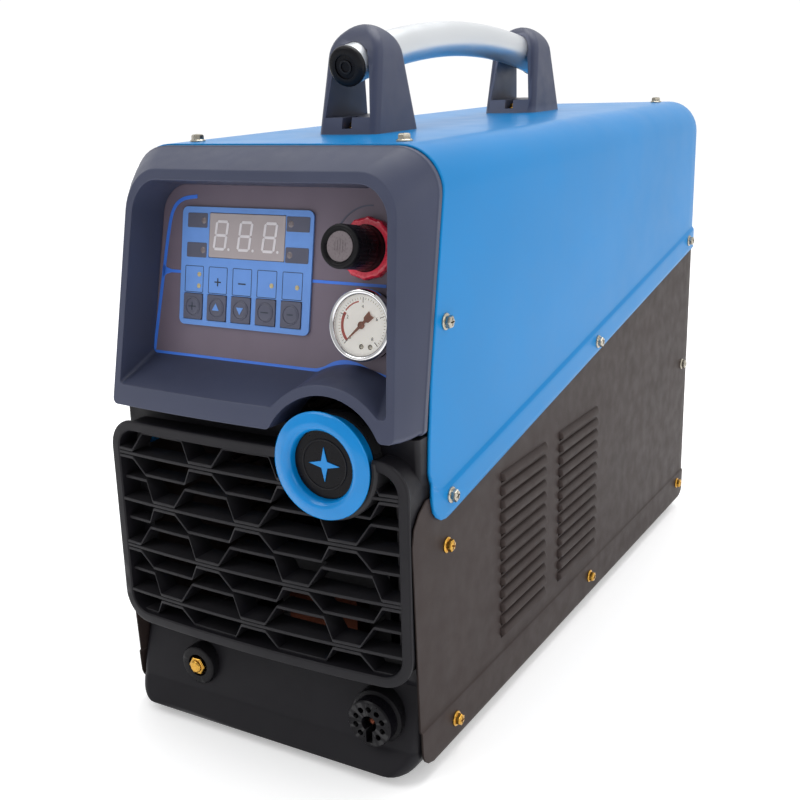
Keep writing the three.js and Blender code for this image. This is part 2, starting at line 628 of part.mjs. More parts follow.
function gauge() {
  const { x, v, r, out } = GAUGE;
  const front = -out;
  const dialY = front + 3.2;
  const bezelRing = turnedRing([
    [17.6, front + 1.2], [18.6, front], [20.2, front + 0.2], [r, front + 1.6],
    [r, front + 6], [20.1, front + 6.6], [20.1, front + 3.4], [17.6, front + 3.4],
  ], x, v);
  place('gauge_bezel', bezelRing, MATERIAL.chrome, controlFace);
  const caseBody = turnedY([
    [0, dialY + 1.4], [18, dialY + 1.4], [18, front + 3.7], [19.8, front + 3.7],
    [19.8, -GAP], [17, -GAP], [17, 14], [7, 14], [7, 22], [0, 22],
  ], x, v);
  place('gauge_case', caseBody, MATERIAL.blackPlastic, controlFace);
  const dial = turnedRing([
    [1.2, dialY], [17.6, dialY], [17.6, dialY + 1], [1.2, dialY + 1],
  ], x, v);
  place('gauge_dial', dial, MATERIAL.dialWhite, controlFace);
  const needleY = dialY - 1.1;
  const hub = roundY(x, v, 2.2, 2.2, needleY - 0.6, needleY + 0.5, 20);
  const shaft = roundY(x, v, 0.9, 0.9, needleY, dialY + 0.9, 12);
  const blade = prismY(
    [[-0.9, -6], [0.9, -6], [0.9, 0], [0.25, 13.5], [-0.25, 13.5], [-0.9, 0]],
    needleY - 0.2, needleY + 0.4);
  const tail = roundY(0, -6, 1.7, 1.7, needleY - 0.2, needleY + 0.4, 16);
  const pointerGeometry = geometryOf(blade.add(tail));
  pointerGeometry.rotateY(GAUGE_REST);
  pointerGeometry.translate(x, 0, v);
  const needle = join([hub, shaft, solid(pointerGeometry)]);
  place('gauge_needle', needle, MATERIAL.needleRed, controlFace);
  const glass = roundY(x, v, 17.3, 17.3, front + 0.3, front + 1.2);
  place('gauge_glass', glass, MATERIAL.clearGlass, controlFace);
}

function regulator() {
  const { x, v, r, length } = REGULATOR;
  const nut = turnedRing([
    [13.6, -GAP - 5.2], [16, -GAP - 5.2], [18, -GAP - 3.6], [18, -GAP], [13.6, -GAP],
  ], x, v, 12);
  place('regulator_nut', nut, MATERIAL.redNut, controlFace);
  const bodyFront = 3;
  const body = turnedRing([
    [4.3, bodyFront], [10.6, bodyFront], [10.6, bodyFront + 3], [17, bodyFront + 3],
    [17, bodyFront + 28], [10, bodyFront + 34], [4.3, bodyFront + 34],
  ], x, v, 16);
  const ports = [
    box([x - 26, bodyFront + 14, v - 5], [x - 12, bodyFront + 24, v + 5]),
    box([x + 12, bodyFront + 14, v - 5], [x + 26, bodyFront + 24, v + 5]),
  ];
  const bore = roundY(x, v, 4.3, 4.3, bodyFront - 3, bodyFront + 30, 12);
  const bored = join([body, ...ports]).subtract(bore);
  place('regulator_body', bored, MATERIAL.aluminium, controlFace);
  const spindle = join([
    roundY(x, v, 3.9, 3.9, -14, bodyFront + 26, 12),
    box([x - 3, -24, v - 3], [x + 3, -13, v + 3]),
  ]);
  place('regulator_spindle', spindle, MATERIAL.brass, controlFace);
  const knobBack = -GAP - 1;
  const knobFront = -length;
  const knob = turnedY([
    [0, knobFront + 0.6], [9.4, knobFront + 0.6], [9.8, knobFront], [11.6, knobFront],
    [r, knobFront + 1], [r, knobBack - 9], [12.9, knobBack - 8], [12.9, knobBack],
    [0, knobBack],
  ], x, v);
  const socket = box([x - 3.3, -28.5, v - 3.3], [x + 3.3, -12, v + 3.3]);
  const shaftHole = roundY(x, v, 4.4, 4.4, -14, 2, 12);
  const relief = roundY(x, v, 10.9, 10.9, -7, 2, 16);
  place('regulator_knob', cutAll(knob, [socket, shaftHole, relief]), MATERIAL.blackPlastic,
    controlFace);
}

// ---- sockets ----
function sockets() {
  const strip = -264.8;
  const collar = turnedRing([
    [6.6, strip - 6], [12.2, strip - 6], [13.4, strip - 5], [13.4, strip + 4],
    [11, strip + 4.4], [11, -240], [6.6, -240],
  ], OUTPUT_SOCKET_X, SOCKET_Z, 20);
  const neck = (x, r) => roundY(x, SOCKET_Z, r, r, -300, -230, 16);
  const inFrontOf = (body) => body.subtract(frontFaceBlock().subtract(
    join([neck(OUTPUT_SOCKET_X, 11.2), neck(TORCH_SOCKET_X, 12.2)])));
  place('output_socket', inFrontOf(collar), MATERIAL.blackPlastic);
  const insert = join([
    roundY(OUTPUT_SOCKET_X, SOCKET_Z, 6.2, 6.2, strip - 4, -236, 6),
    roundY(OUTPUT_SOCKET_X, SOCKET_Z, 3.5, 4.5, strip - 6.5, strip - 3.8, 20),
  ]);
  place('output_socket_insert', insert, MATERIAL.brass);
  const face = -278.5;
  const outer = turnedY([
    [0, face + 5], [13.4, face + 5], [13.4, face], [15, face], [15, strip - 4.4],
    [17.4, strip - 4.2], [17.4, strip - 0.2], [12, strip + 0.2], [12, -240], [0, -240],
  ], TORCH_SOCKET_X, SOCKET_Z);
  const plug = roundY(TORCH_SOCKET_X, SOCKET_Z, 14, 14, face + 0.6, face + 8);
  const holes = [roundY(TORCH_SOCKET_X, SOCKET_Z, 5.2, 5.2, face - 2, face + 16, 24)];
  for (let i = 0; i < 9; i++) {
    const angle = THREE.MathUtils.degToRad(-50 + i * 35);
    holes.push(roundY(TORCH_SOCKET_X + 9.4 * Math.cos(angle), SOCKET_Z + 9.4 * Math.sin(angle),
      1.9, 1.9, face - 2, face + 10, 6));
  }
  place('torch_socket', cutAll(inFrontOf(outer.add(plug)), holes), MATERIAL.blackPlastic);
  const pin = roundY(TORCH_SOCKET_X, SOCKET_Z, 2.2, 2.2, face + 3, face + 16 - GAP, 20);
  place('torch_socket_pin', pin, MATERIAL.copper);
}

// The space behind the fascia's leaning front, with a clearance in front of it.
function frontFaceBlock() {
  const front = FASCIA_FRONT.map(([y, z]) => [y - 0.4, z]);
  return prismX([...front, [-259.4, 70], [-238, 70], [-238, FASCIA.skirt]], -140, 140);
}

// ---- rear fittings ----
function rearFittings() {
  const back = REAR_PANEL_Y + SHEET;
  const gland = turnedRing([
    [5.5, 250], [11, 250], [11, back + GAP], [15, back + GAP], [15, back + 7],
    [12.5, back + 8], [12.5, back + 17], [9, REACH_Y], [5.5, REACH_Y],
  ], REAR.glandX, REAR.glandZ, 16);
  place('cable_gland', gland, MATERIAL.blackPlastic);
  const inlet = turnedRing([
    [3.5, 246], [7, 246], [7, back + GAP], [10.5, back + GAP], [10.5, back + 7],
    [5, back + 8], [6, back + 12], [4.8, back + 13], [6, back + 17], [4.6, REACH_Y],
    [3.5, REACH_Y],
  ], REAR.inletX, REAR.inletZ, 12);
  place('air_inlet', inlet, MATERIAL.brass);
  const { switchX: x, switchZ: z } = REAR;
  const housing = join([
    box([x - 15, 236, z - 25], [x + 15, back + 6, z + 25]),
    box([x - 18, back + GAP, z - 29], [x + 18, back + 3.2, z + 29]),
  ]).subtract(box([x - 7.5, back - 6, z - 14], [x + 7.5, back + 10, z + 14]));
  place('power_switch_housing', housing, MATERIAL.blackPlastic);
  const lever = geometryOf(join([
    roundX(0, 0, 6.2, x - 7, x + 7, 24), box([x - 5, 3, -2.5], [x + 5, 15, 2.5])]));
  lever.rotateX(SWITCH_TILT);
  lever.translate(0, SWITCH_PIVOT_Y, z);
  place('power_switch_lever', solid(lever), MATERIAL.bluePlastic);
}

// ---- inside ----
function fan() {
  const rearFace = REAR_PANEL_Y - GAP;
  const frontFace = rearFace - FAN.depth;
  const frame = prismY(
    roundedOutline(-FAN.half, FAN.half, FAN.z - FAN.half, FAN.z + FAN.half, 6, 6, 3),
    frontFace, rearFace);
  const duct = roundY(0, FAN.z, 57.5, 57.5, frontFace - 5, rearFace + 5);
  const hubHolder = roundY(0, FAN.z, 19, 19, frontFace, frontFace + 7, 32);
  const struts = [45, 135, 225, 315].map((degrees) => {
    const geometry = new THREE.BoxGeometry(46, 5, 5);
    geometry.translate(37, 0, 0);
    geometry.rotateY(THREE.MathUtils.degToRad(degrees));
    geometry.translate(0, frontFace + 2.5, FAN.z);
    return solid(geometry);
  });
  place('fan_frame', join([frame.subtract(duct), hubHolder, ...struts]), MATERIAL.darkPlastic);
  const hub = roundY(0, FAN.z, 19, 19, frontFace + 8, frontFace + 32, 32);
  const blades = [];
  for (let i = 0; i < 7; i++) {
    const geometry = new THREE.BoxGeometry(40, 2, 22);
    geometry.rotateX(THREE.MathUtils.degToRad(48));
    geometry.translate(35, frontFace + 20, 0);
    geometry.rotateY(i * 2 * Math.PI / 7);
    geometry.translate(0, 0, FAN.z);
    blades.push(solid(geometry));
  }
  place('fan_rotor', join([hub, ...blades]), MATERIAL.blackPlastic);
  const out = REAR_PANEL_Y + SHEET + GAP;
  const guard = [];
  for (const radius of [56, 44, 32, 20]) {
    guard.push(turnedRing([
      [radius - 1.3, out + 1], [radius + 1.3, out + 1], [radius + 1.3, out + 3.4],
      [radius - 1.3, out + 3.4],
    ], 0, FAN.z, 16));
  }
  for (let i = 0; i < 2; i++) {
    const geometry = new THREE.BoxGeometry(150, 2.6, 3);
    geometry.rotateY(THREE.MathUtils.degToRad(45 + 90 * i));
    geometry.translate(0, out + 1.4, FAN.z);
    guard.push(solid(geometry));
  }
  guard.push(roundY(0, FAN.z, 9, 9, out + 0.4, out + 3.4, 24));
  place('fan_guard', join(guard), MATERIAL.steel);
}

function heatsink() {
  const [x0, x1, y0, y1, z0] = [-70, 70, -70, 150, TRAY_TOP];
  const base = box([x0, y0, z0 + 52], [x1, y1, z0 + 60]);
  const fins = [];
  for (let i = 0; i < 15; i++) {
    const x = x0 + 2 + i * 9.7;
    fins.push(box([x - 1.2, y0, z0], [x + 1.2, y1, z0 + 53]));
  }
  place('heatsink', join([base, ...fins]), MATERIAL.aluminium);
}

function transformer() {
  const z0 = TRAY_TOP;
  const core = box([-45, -190, z0], [45, -100, z0 + 80])
    .subtract(box([-28, -200, z0 + 16], [28, -90, z0 + 64]));
  place('transformer_core', core, MATERIAL.ferrite);
  const leftCoil = box([-27.6, -205, z0 + 16.4], [-4, -85, z0 + 63.6]);
  const rightCoil = box([4, -205, z0 + 16.4], [27.6, -85, z0 + 63.6]);
  const bridge = box([-27.6, -205, z0 + 16.4], [27.6, -196, z0 + 63.6]);
  place('transformer_winding', join([leftCoil, rightCoil, bridge]), MATERIAL.copper);
}

function boards() {
  const z = FLOOR_Z + 90;
  const board = join([
    box([-85, -75, z], [85, 160, z + 2]), box([-70, -60, z - 17.4], [-60, -50, z + 1]),
    box([60, -60, z - 17.4], [70, -50, z + 1]), box([-70, 130, z - 17.4], [-60, 140, z + 1]),
    box([60, 130, z - 17.4], [70, 140, z + 1]),
  ]);
  place('inverter_board', board, MATERIAL.circuitBoard);
  for (const [name, x] of [['capacitor_1', -40], ['capacitor_2', 10]]) {
    place(name, roundZ(x, 90, 20, z + 2 + GAP, z + 62, 32), MATERIAL.ferrite);
  }
  const behindKeypad = box([-80, 9, 18], [30, 10.6, 98]);
  place('control_board', behindKeypad, MATERIAL.circuitBoard, controlFace);
}

function gasLine() {
  const z0 = TRAY_TOP;
  const valve = join([
    box([-95, -40, z0], [-75, 0, z0 + 25]), roundZ(-85, -20, 9, z0 + 20, z0 + 52, 24)]);
  place('solenoid_valve', valve, MATERIAL.brass);
  const path = new THREE.CatmullRomCurve3([
    [-62, 245.4, 62], [-62, 236, 62], [-80, 200, 52], [-90, 150, 34], [-86, 60, 26],
    [-85, 12, 25], [-85, 0.4, 25],
  ].map((point) => new THREE.Vector3(...point)));
  const section = new THREE.Shape();
  section.absarc(0, 0, 4.5, 0, 2 * Math.PI);
  const hose = new THREE.ExtrudeGeometry(
    section, { steps: 20, curveSegments: 3, extrudePath: path });
  place('air_hose', solid(hose), MATERIAL.hose);
}

// ---- handle, in the frame of the sloping top ----
function handlePath(extra) {
  const radius = (HANDLE.half ** 2 + HANDLE.sag ** 2) / (2 * HANDLE.sag);
  const reach = Math.asin(HANDLE.half / radius) * (1 + extra);
  const points = [];
  for (let i = 0; i <= 24; i++) {
    const angle = reach * (i / 12 - 1);
    points.push(new THREE.Vector3(
      0, radius * Math.sin(angle), HANDLE.rise - radius * (1 - Math.cos(angle))));
  }
  return new THREE.CatmullRomCurve3(points);
}

function bentBar(radius, sides, extra) {
  const section = new THREE.Shape();
  for (let i = 0; i < sides; i++) {
    const angle = 2 * Math.PI * i / sides;
    const point = [radius * Math.cos(angle), radius * Math.sin(angle)];
    if (i === 0) section.moveTo(...point);
    else section.lineTo(...point);
  }
  section.closePath();
  const bar = new THREE.ExtrudeGeometry(section, { steps: 12, extrudePath: handlePath(extra) });
  return solid(bar);
}

const BRACKET = { half: 22.7, base: 29, top: 68, foot: 10.5 };
function handle() {
  const { tube, half, sag, rise, bracketY } = HANDLE;
  place('handle_tube', bentBar(tube, 14, 0).subtract(bentBar(tube - 2, 10, 0.05)),
    MATERIAL.aluminium, handleFrame);
  const endAngle = 2 * Math.atan(sag / half);
  for (const [name, side] of [['front', -1], ['rear', 1]]) {
    const flange = new THREE.CylinderGeometry(tube, tube, 4, 24).translate(0, 2 + GAP, 0);
    const plug = new THREE.CylinderGeometry(9.6, 9.6, 16, 20).translate(0, -6, 0);
    const capBody = geometryOf(solid(flange).add(solid(plug)));
    capBody.rotateX(-endAngle);
    capBody.translate(0, half, rise - sag);
    let cap = solid(capBody);
    if (side < 0) cap = cap.mirror([0, 1, 0]);
    place(`handle_cap_${name}`, cap, MATERIAL.blackPlastic, handleFrame);
    const sideView = [
      [-BRACKET.base, GAP], [BRACKET.base, GAP], [18.5, 42], [14, 56], [8, 64], [0, BRACKET.top],
      [-8, 64], [-14, 56], [-18.5, 42],
    ].map(([y, h]) => [side * bracketY + y, h]);
    const frontView = [[-BRACKET.half, 0], [BRACKET.half, 0]];
    for (let i = 0; i <= 10; i++) {
      const angle = Math.PI * i / 10;
      frontView.push([20.5 * Math.cos(angle), 47.5 + 20.5 * Math.sin(angle)]);
    }
    const window = prismY([[-17, BRACKET.foot], [17, BRACKET.foot], [13.5, 40], [-13.5, 40]],
      -200, 200);
    const body = prismX(sideView, -30, 30).intersect(prismY(frontView, -200, 200));
    const bore = bentBar(tube + GAP + 0.2, 16, 0.2);
    place(`handle_bracket_${name}`, cutAll(body, [window, bore]), MATERIAL.slatePlastic,
      handleFrame);
  }
}

baseTray();
feet();
sidePanels();
topCover();
sideFixings();
topFixings();
rearPanel();
upperBezel();
lowerFascia();
frontGrille();
badge();
controlPanel();
keypad();
gauge();
regulator();
sockets();
rearFittings();
fan();
heatsink();
transformer();
boards();
gasLine();
handle();

export default unit;
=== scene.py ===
"""Looks of the plasma cutter unit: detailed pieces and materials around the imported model."""
from math import asin, atan, atan2, cos, degrees, dist, hypot, pi, radians, sin, sqrt, tan

import bmesh
import bpy
from mathutils import Matrix, Vector


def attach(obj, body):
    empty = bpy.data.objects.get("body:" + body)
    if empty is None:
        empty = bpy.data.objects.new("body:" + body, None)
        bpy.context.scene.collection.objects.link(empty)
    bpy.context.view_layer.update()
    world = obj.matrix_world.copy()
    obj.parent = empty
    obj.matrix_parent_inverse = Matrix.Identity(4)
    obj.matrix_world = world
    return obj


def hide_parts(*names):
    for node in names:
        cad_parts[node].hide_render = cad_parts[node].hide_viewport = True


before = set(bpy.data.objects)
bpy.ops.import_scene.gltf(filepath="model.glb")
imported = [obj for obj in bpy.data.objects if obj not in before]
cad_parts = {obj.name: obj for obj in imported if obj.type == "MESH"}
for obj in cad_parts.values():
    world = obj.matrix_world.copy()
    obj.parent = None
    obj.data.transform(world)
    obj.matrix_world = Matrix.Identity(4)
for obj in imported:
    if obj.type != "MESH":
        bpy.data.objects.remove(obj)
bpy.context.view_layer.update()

# ---- measures in millimetres, in the frame of the CAD model ----
MM = 0.001
HALF_WIDTH = 111
COVER_FRONT = -252.6
REAR_Y = 269
SHEET = 1.5
STRIP_OUT = 1.8                   # the cover's lower strip stands out by this much
PANEL_FOOT = 10                   # lower edge of the side panels
PANEL_SHOULDER = 166              # where their level rows end, behind the cover
LEAN = radians(9.6)               # the control face leans back
FRONT_BULGE = 5.6                 # the moulded front is crowned from side to side
BADGE = (58, 200)
BADGE_SPACE = 31.2                # radius kept clear behind the badge's ring
SOCKET_Z = 39
FAN_Z = 215
REAR_HOLE_X, REAR_HOLE_Z = 62, 62
KNOB = (64.5, 73.5)
GAUGE = (68, 30)
DIAL_START, DIAL_SWEEP = 225, 270  # degrees; the scale runs clockwise
HERE = Matrix.Identity(4)
FACE = Matrix.Translation((0, -246, 245)) @ Matrix.Rotation(-LEAN, 4, "X")
TOP_SLOPE = 0.02925
TOP = Matrix.Translation((0, 0, 382.67)) @ Matrix.Rotation(atan(TOP_SLOPE), 4, "X")


def bulge(x):
    """How far the crowned front stands out at a place across it."""
    return FRONT_BULGE * max(0.0, 1 - (x / HALF_WIDTH) ** 2)


def top_z(y):
    """Height of the sloping top."""
    return 376 + TOP_SLOPE * (y + 228)


def cover_edge(y):
    """Height of the cover's slanting lower edge."""
    return 164.7 + (y + 218) * 0.1905


def round_off(radius, past):
    """What a rounded corner takes off at a distance past its start."""
    return radius - sqrt(max(0.0, radius ** 2 - past ** 2))


def between(value, stops):
    """Height over value on a line through (value, height) stops."""
    if value <= stops[0][0]:
        return stops[0][1]
    for (a, low), (b, high) in zip(stops, stops[1:]):
        if value <= b:
            return low + (high - low) * (value - a) / (b - a)
    return stops[-1][1]


# ---- materials ----
def linear(code):
    """Linear colour of a six-digit sRGB code."""
    parts = [int(code[i:i + 2], 16) / 255 for i in (0, 2, 4)]
    return [p / 12.92 if p <= 0.04045 else ((p + 0.055) / 1.055) ** 2.4 for p in parts] + [1]


def scaled(colour, factor):
    return [min(1, part * factor) for part in colour[:3]] + [1]


class Recipe:
    """A material being built from nodes, with its Principled shader."""

    def __init__(self, name):
        self.material = bpy.data.materials.new(name)
        self.material.use_nodes = True
        self.tree = self.material.node_tree
        self.shader = self.tree.nodes["Principled BSDF"]
        self.place = self.node("ShaderNodeTexCoord").outputs["Object"]

    def node(self, kind, **settings):
        made = self.tree.nodes.new(kind)
        for key, value in settings.items():
            setattr(made, key, value)
        return made

    def link(self, source, target):
        self.tree.links.new(source, target)

    def noise(self, scale, detail=3, stretch=None):
        made = self.node("ShaderNodeTexNoise")
        made.inputs["Scale"].default_value = scale
        made.inputs["Detail"].default_value = detail
        source = self.place
        if stretch:
            mapping = self.node("ShaderNodeMapping")
            mapping.inputs["Scale"].default_value = stretch
            self.link(source, mapping.inputs["Vector"])
            source = mapping.outputs["Vector"]
        self.link(source, made.inputs["Vector"])
        return made.outputs["Fac"]

    def ranged(self, source, low, high, out_low, out_high):
        made = self.node("ShaderNodeMapRange")
        for key, value in (("From Min", low), ("From Max", high), ("To Min", out_low),
                           ("To Max", out_high)):
            made.inputs[key].default_value = value
        self.link(source, made.inputs["Value"])
        return made.outputs["Result"]

    def mixed(self, factor, a, b):
        made = self.node("ShaderNodeMix", data_type="RGBA")
        self.link(factor, made.inputs["Factor"])
        for socket, value in ((made.inputs[6], a), (made.inputs[7], b)):
            if isinstance(value, list):
                socket.default_value = value
            else:
                self.link(value, socket)
        return made.outputs[2]


def finish(slot, code, rough, mottle, cloud, grain, bump, metal=0.0, coat=0.0, spread=0.06,
           wear=0.0, stretch=None, depth=0.0003, sheen=0.5, glow=0.0):
    """Surface with cloudy colour, uneven gloss and a fine grain, some with paler worn edges.

    mottle and spread are how far colour and roughness vary, cloud and grain are noise scales
    per metre, and depth is the height of the grain in metres. Any glow is painted light: the
    surface gives off light in its own colour, though it is no lamp.
    """
    made = Recipe(slot)
    colour = linear(code)
    # the glow setting drives Emission, which is painted light on a part that is no lamp
    for socket, value in (("Metallic", metal), ("Coat Weight", coat), ("Coat Roughness", 0.08),
                          ("Specular IOR Level", sheen), ("Emission Color", colour),
                          ("Emission Strength", glow)):
        made.shader.inputs[socket].default_value = value
    clouds = made.ranged(made.noise(cloud, 4), 0.3, 0.7, 0, 1)
    tinted = made.mixed(clouds, scaled(colour, 1 - mottle), scaled(colour, 1 + mottle))
    if wear:
        edge = made.node("ShaderNodeNewGeometry").outputs["Pointiness"]
        worn = made.ranged(edge, 0.52, 0.62, 0, wear)
        tinted = made.mixed(worn, tinted, scaled([part + 0.08 for part in colour[:3]], 1.8))
    made.link(tinted, made.shader.inputs["Base Color"])
    gloss = made.ranged(made.noise(cloud * 4, 3), 0.3, 0.7, rough - spread, rough + spread)
    made.link(gloss, made.shader.inputs["Roughness"])
    raised = made.node("ShaderNodeBump")
    raised.inputs["Strength"].default_value = bump
    raised.inputs["Distance"].default_value = depth
    made.link(made.noise(grain, 2, stretch), raised.inputs["Height"])
    made.link(raised.outputs["Normal"], made.shader.inputs["Normal"])
    return made.material


def clear_finish(slot):
    """Thin clear pane: mostly see-through, with a mirror sheen that grows at an angle."""
    made = Recipe(slot)
    clear = made.node("ShaderNodeBsdfTransparent")
    mirror = made.node("ShaderNodeBsdfGlossy")
    made.link(made.ranged(made.noise(60, 2), 0.3, 0.7, 0.02, 0.06), mirror.inputs["Roughness"])
    fresnel = made.node("ShaderNodeFresnel")
    fresnel.inputs["IOR"].default_value = 1.5
    mix = made.node("ShaderNodeMixShader")
    made.link(fresnel.outputs["Fac"], mix.inputs["Fac"])
    made.link(clear.outputs["BSDF"], mix.inputs[1])
    made.link(mirror.outputs["BSDF"], mix.inputs[2])
    made.link(mix.outputs["Shader"], made.tree.nodes["Material Output"].inputs["Surface"])
    made.tree.nodes.remove(made.shader)
    return made.material


# Each finish as colour, roughness, mottle, cloud, grain and bump, and what else it sets
LOOKS = {
    # paint
    "blue_paint": ("027cbe", 0.34, 0.04, 9, 420, 0.02,
                   {"coat": 0.1, "spread": 0.03, "depth": 0.00005, "sheen": 0.1}),
    "black_paint": ("362d2b", 0.52, 0.06, 18, 2200, 0.16, {"sheen": 0.14}),
    # plastic, rubber and glass
    "slate_plastic": ("3b4055", 0.42, 0.06, 22, 1900, 0.16, {"wear": 0.3, "sheen": 0.35}),
    "dark_plastic": ("1b1a1e", 0.48, 0.08, 30, 1700, 0.2, {"wear": 0.3, "sheen": 0.16}),
    "black_plastic": ("0b0a0e", 0.3, 0.12, 50, 1500, 0.08, {"wear": 0.2, "sheen": 0.12}),
    "blue_plastic": ("0080c8", 0.2, 0.05, 40, 700, 0.03,
                     {"coat": 0.3, "spread": 0.03, "sheen": 0.25}),
    "red_nut": ("d01838", 0.28, 0.14, 120, 1200, 0.1, {"coat": 0.4, "wear": 0.3}),
    "display_window": ("a39a9c", 0.14, 0.03, 60, 900, 0.02, {"coat": 0.7, "spread": 0.02}),
    "rubber": ("1c1c1e", 0.75, 0.12, 80, 1400, 0.3, {}),
    "hose": ("22262c", 0.45, 0.1, 60, 900, 0.2, {}),
    "lamp_amber": ("b5a67c", 0.3, 0.06, 200, 2600, 0.05, {"coat": 0.4}),
    "lamp_dim": ("6d6468", 0.3, 0.06, 200, 2600, 0.05, {"coat": 0.4}),
    # printed surfaces
    "panel_print": ("6b606e", 0.4, 0.05, 40, 3000, 0.1, {}),
    "keypad_print": ("6390d6", 0.36, 0.04, 60, 2600, 0.08, {}),
    "key_print": ("505264", 0.42, 0.06, 90, 2600, 0.1, {}),
    "line_blue": ("3f78e0", 0.35, 0.04, 80, 2600, 0.06, {}),
    "print_pale": ("cfcbd0", 0.4, 0.05, 150, 2600, 0.06, {}),
    "print_dark": ("26303f", 0.4, 0.06, 150, 2600, 0.06, {}),
    # the dial's glow is painted light that lifts the white dial out of the shade of its recess
    "dial_white": ("fbf8f2", 0.45, 0.02, 90, 2000, 0.05, {"glow": 0.2}),
    "dial_red": ("b83a22", 0.4, 0.05, 150, 2600, 0.05, {}),
    # metal
    "chrome": ("dcdcde", 0.1, 0.03, 60, 900, 0.02, {"metal": 1.0, "spread": 0.04}),
    "needle": ("8a4a2c", 0.35, 0.12, 200, 3000, 0.06, {"metal": 0.3}),
    "brass": ("c99a45", 0.24, 0.12, 140, 1800, 0.1, {"metal": 1.0, "spread": 0.08}),
    # copper tone darker than bare copper: painted shade of the dark inside of the unit, where the
    # winding sits behind the grille; the torch pin shares it
    "copper": ("65392a", 0.36, 0.12, 90, 900, 0.15, {"metal": 1.0}),
    "steel": ("b0aa9c", 0.26, 0.1, 120, 1800, 0.1, {"metal": 1.0, "spread": 0.08}),
    "aluminium": ("cfd2d5", 0.36, 0.03, 12, 1600, 0.03,
                  {"metal": 0.85, "stretch": (1, 0.04, 1), "depth": 0.0001}),
    # inside
    "circuit_board": ("1f5a34", 0.4, 0.2, 200, 900, 0.3, {}),
    "ferrite": ("29292c", 0.6, 0.15, 90, 1200, 0.3, {}),
}
FINISH = {slot: finish(slot, *basics, **extras) for slot, (*basics, extras) in LOOKS.items()}
FINISH["clear_glass"] = clear_finish("clear_glass")


# ---- shapes: each is (points, faces) in millimetres ----
def merged(shapes):
    """Several shapes as one."""
    points = []
    faces = []
    for more_points, more_faces in shapes:
        base = len(points)
        points += more_points
        faces += [[base + i for i in face] for face in more_faces]
    return points, faces


def around(centre, radius, heading):
    """Point on a circle, with its heading in degrees."""
    angle = radians(heading)
    return centre[0] + radius * cos(angle), centre[1] + radius * sin(angle)


def at(x, y, z):
    return Matrix.Translation((x, y, z))


def spin(heading, axis):
    """Rotation about an axis, in degrees."""
    return Matrix.Rotation(radians(heading), 4, axis)


def moved(shape, matrix):
    points, faces = shape
    return [tuple(matrix @ Vector(p)) for p in points], faces


def arc(a, b, radius, start, end, steps):
    """Points on a circle about (a, b) from one angle in degrees to another."""
    return [around((a, b), radius, start + (end - start) * i / steps)
            for i in range(steps + 1)]


def rounded(a0, a1, b0, b1, lower, upper, steps=6):
    """Rounded rectangle, with one radius for the lower and one for the upper corners."""
    return (arc(a1 - lower, b0 + lower, lower, -90, 0, steps)
            + arc(a1 - upper, b1 - upper, upper, 0, 90, steps)
            + arc(a0 + upper, b1 - upper, upper, 90, 180, steps)
            + arc(a0 + lower, b0 + lower, lower, 180, 270, steps))


def set_on(axis, pair, t):
    a, b = pair
    return {"X": (t, a, b), "Y": (a, t, b), "Z": (a, b, t)}[axis]


def prism(outline, low, high, axis="Y"):
    count = len(outline)
    points = [set_on(axis, pair, low) for pair in outline]
    points += [set_on(axis, pair, high) for pair in outline]
    faces = [list(range(count)), list(range(count, 2 * count))]
    for i in range(count):
        j = (i + 1) % count
        faces.append([i, j, count + j, count + i])
    return points, faces


def block(low, high):
    outline = [(low[0], low[2]), (high[0], low[2]), (high[0], high[2]), (low[0], high[2])]
    return prism(outline, low[1], high[1])


def loft(loops, closed=False, ends=False):
    """Skin over loops that have the same number of points."""
    count = len(loops[0])
    points = [p for loop in loops for p in loop]
    faces = []
    rows = len(loops) if closed else len(loops) - 1
    for i in range(rows):
        here, there = i * count, (i + 1) % len(loops) * count
        for j in range(count):
            k = (j + 1) % count
            faces.append([here + j, here + k, there + k, there + j])
    if ends:
        faces.append(list(range(count)))
        faces.append(list(range((len(loops) - 1) * count, len(loops) * count)))
    return points, faces


def turned(profile, x, z, sides=64, closed=False, ripple=None):
    """Turned body about a line along Y; the profile is (radius, y) points."""
    loops = []
    for radius, y in profile:
        loop = []
        for i in range(sides):
            angle = 2 * pi * i / sides
            r = radius * (1 + ripple(angle, y)) if ripple else radius
            loop.append((x + r * cos(angle), y, z + r * sin(angle)))
        loops.append(loop)
    return loft(loops, closed=closed)


def swept(path, radius, sides=32):
    """Round bar along a path of points."""
    loops = []
    for i, here in enumerate(path):
        back = Vector(path[max(0, i - 1)])
        ahead = Vector(path[min(len(path) - 1, i + 1)])
        along = (ahead - back).normalized()
        side = along.orthogonal() if abs(along.x) > 0.9 else Vector((1, 0, 0)).cross(along)
        side.normalize()
        other = along.cross(side)
        loop = []
        for j in range(sides):
            angle = 2 * pi * j / sides
            offset = side * cos(angle) + other * sin(angle)
            loop.append(tuple(Vector(here) + offset * radius))
        loops.append(loop)
    return loft(loops, ends=True)


def grid(rows):
    """Open surface through rows of points."""
    width = len(rows[0])
    points = [p for row in rows for p in row]
    faces = []
    for i in range(len(rows) - 1):
        for j in range(width - 1):
            a = i * width + j
            faces.append([a, a + 1, a + width + 1, a + width])
    return points, faces


# ---- pieces ----
def mesh_from(name, shape, place=HERE):
    points, faces = shape
    mesh = bpy.data.meshes.new(name)
    mesh.from_pydata([(place @ Vector(p)) * MM for p in points], [], faces)
    work = bmesh.new()
    work.from_mesh(mesh)
    bmesh.ops.remove_doubles(work, verts=work.verts, dist=2e-6)
    bmesh.ops.dissolve_degenerate(work, edges=work.edges, dist=1e-6)
    bmesh.ops.recalc_face_normals(work, faces=work.faces)
    work.to_mesh(mesh)
    work.free()
    return mesh


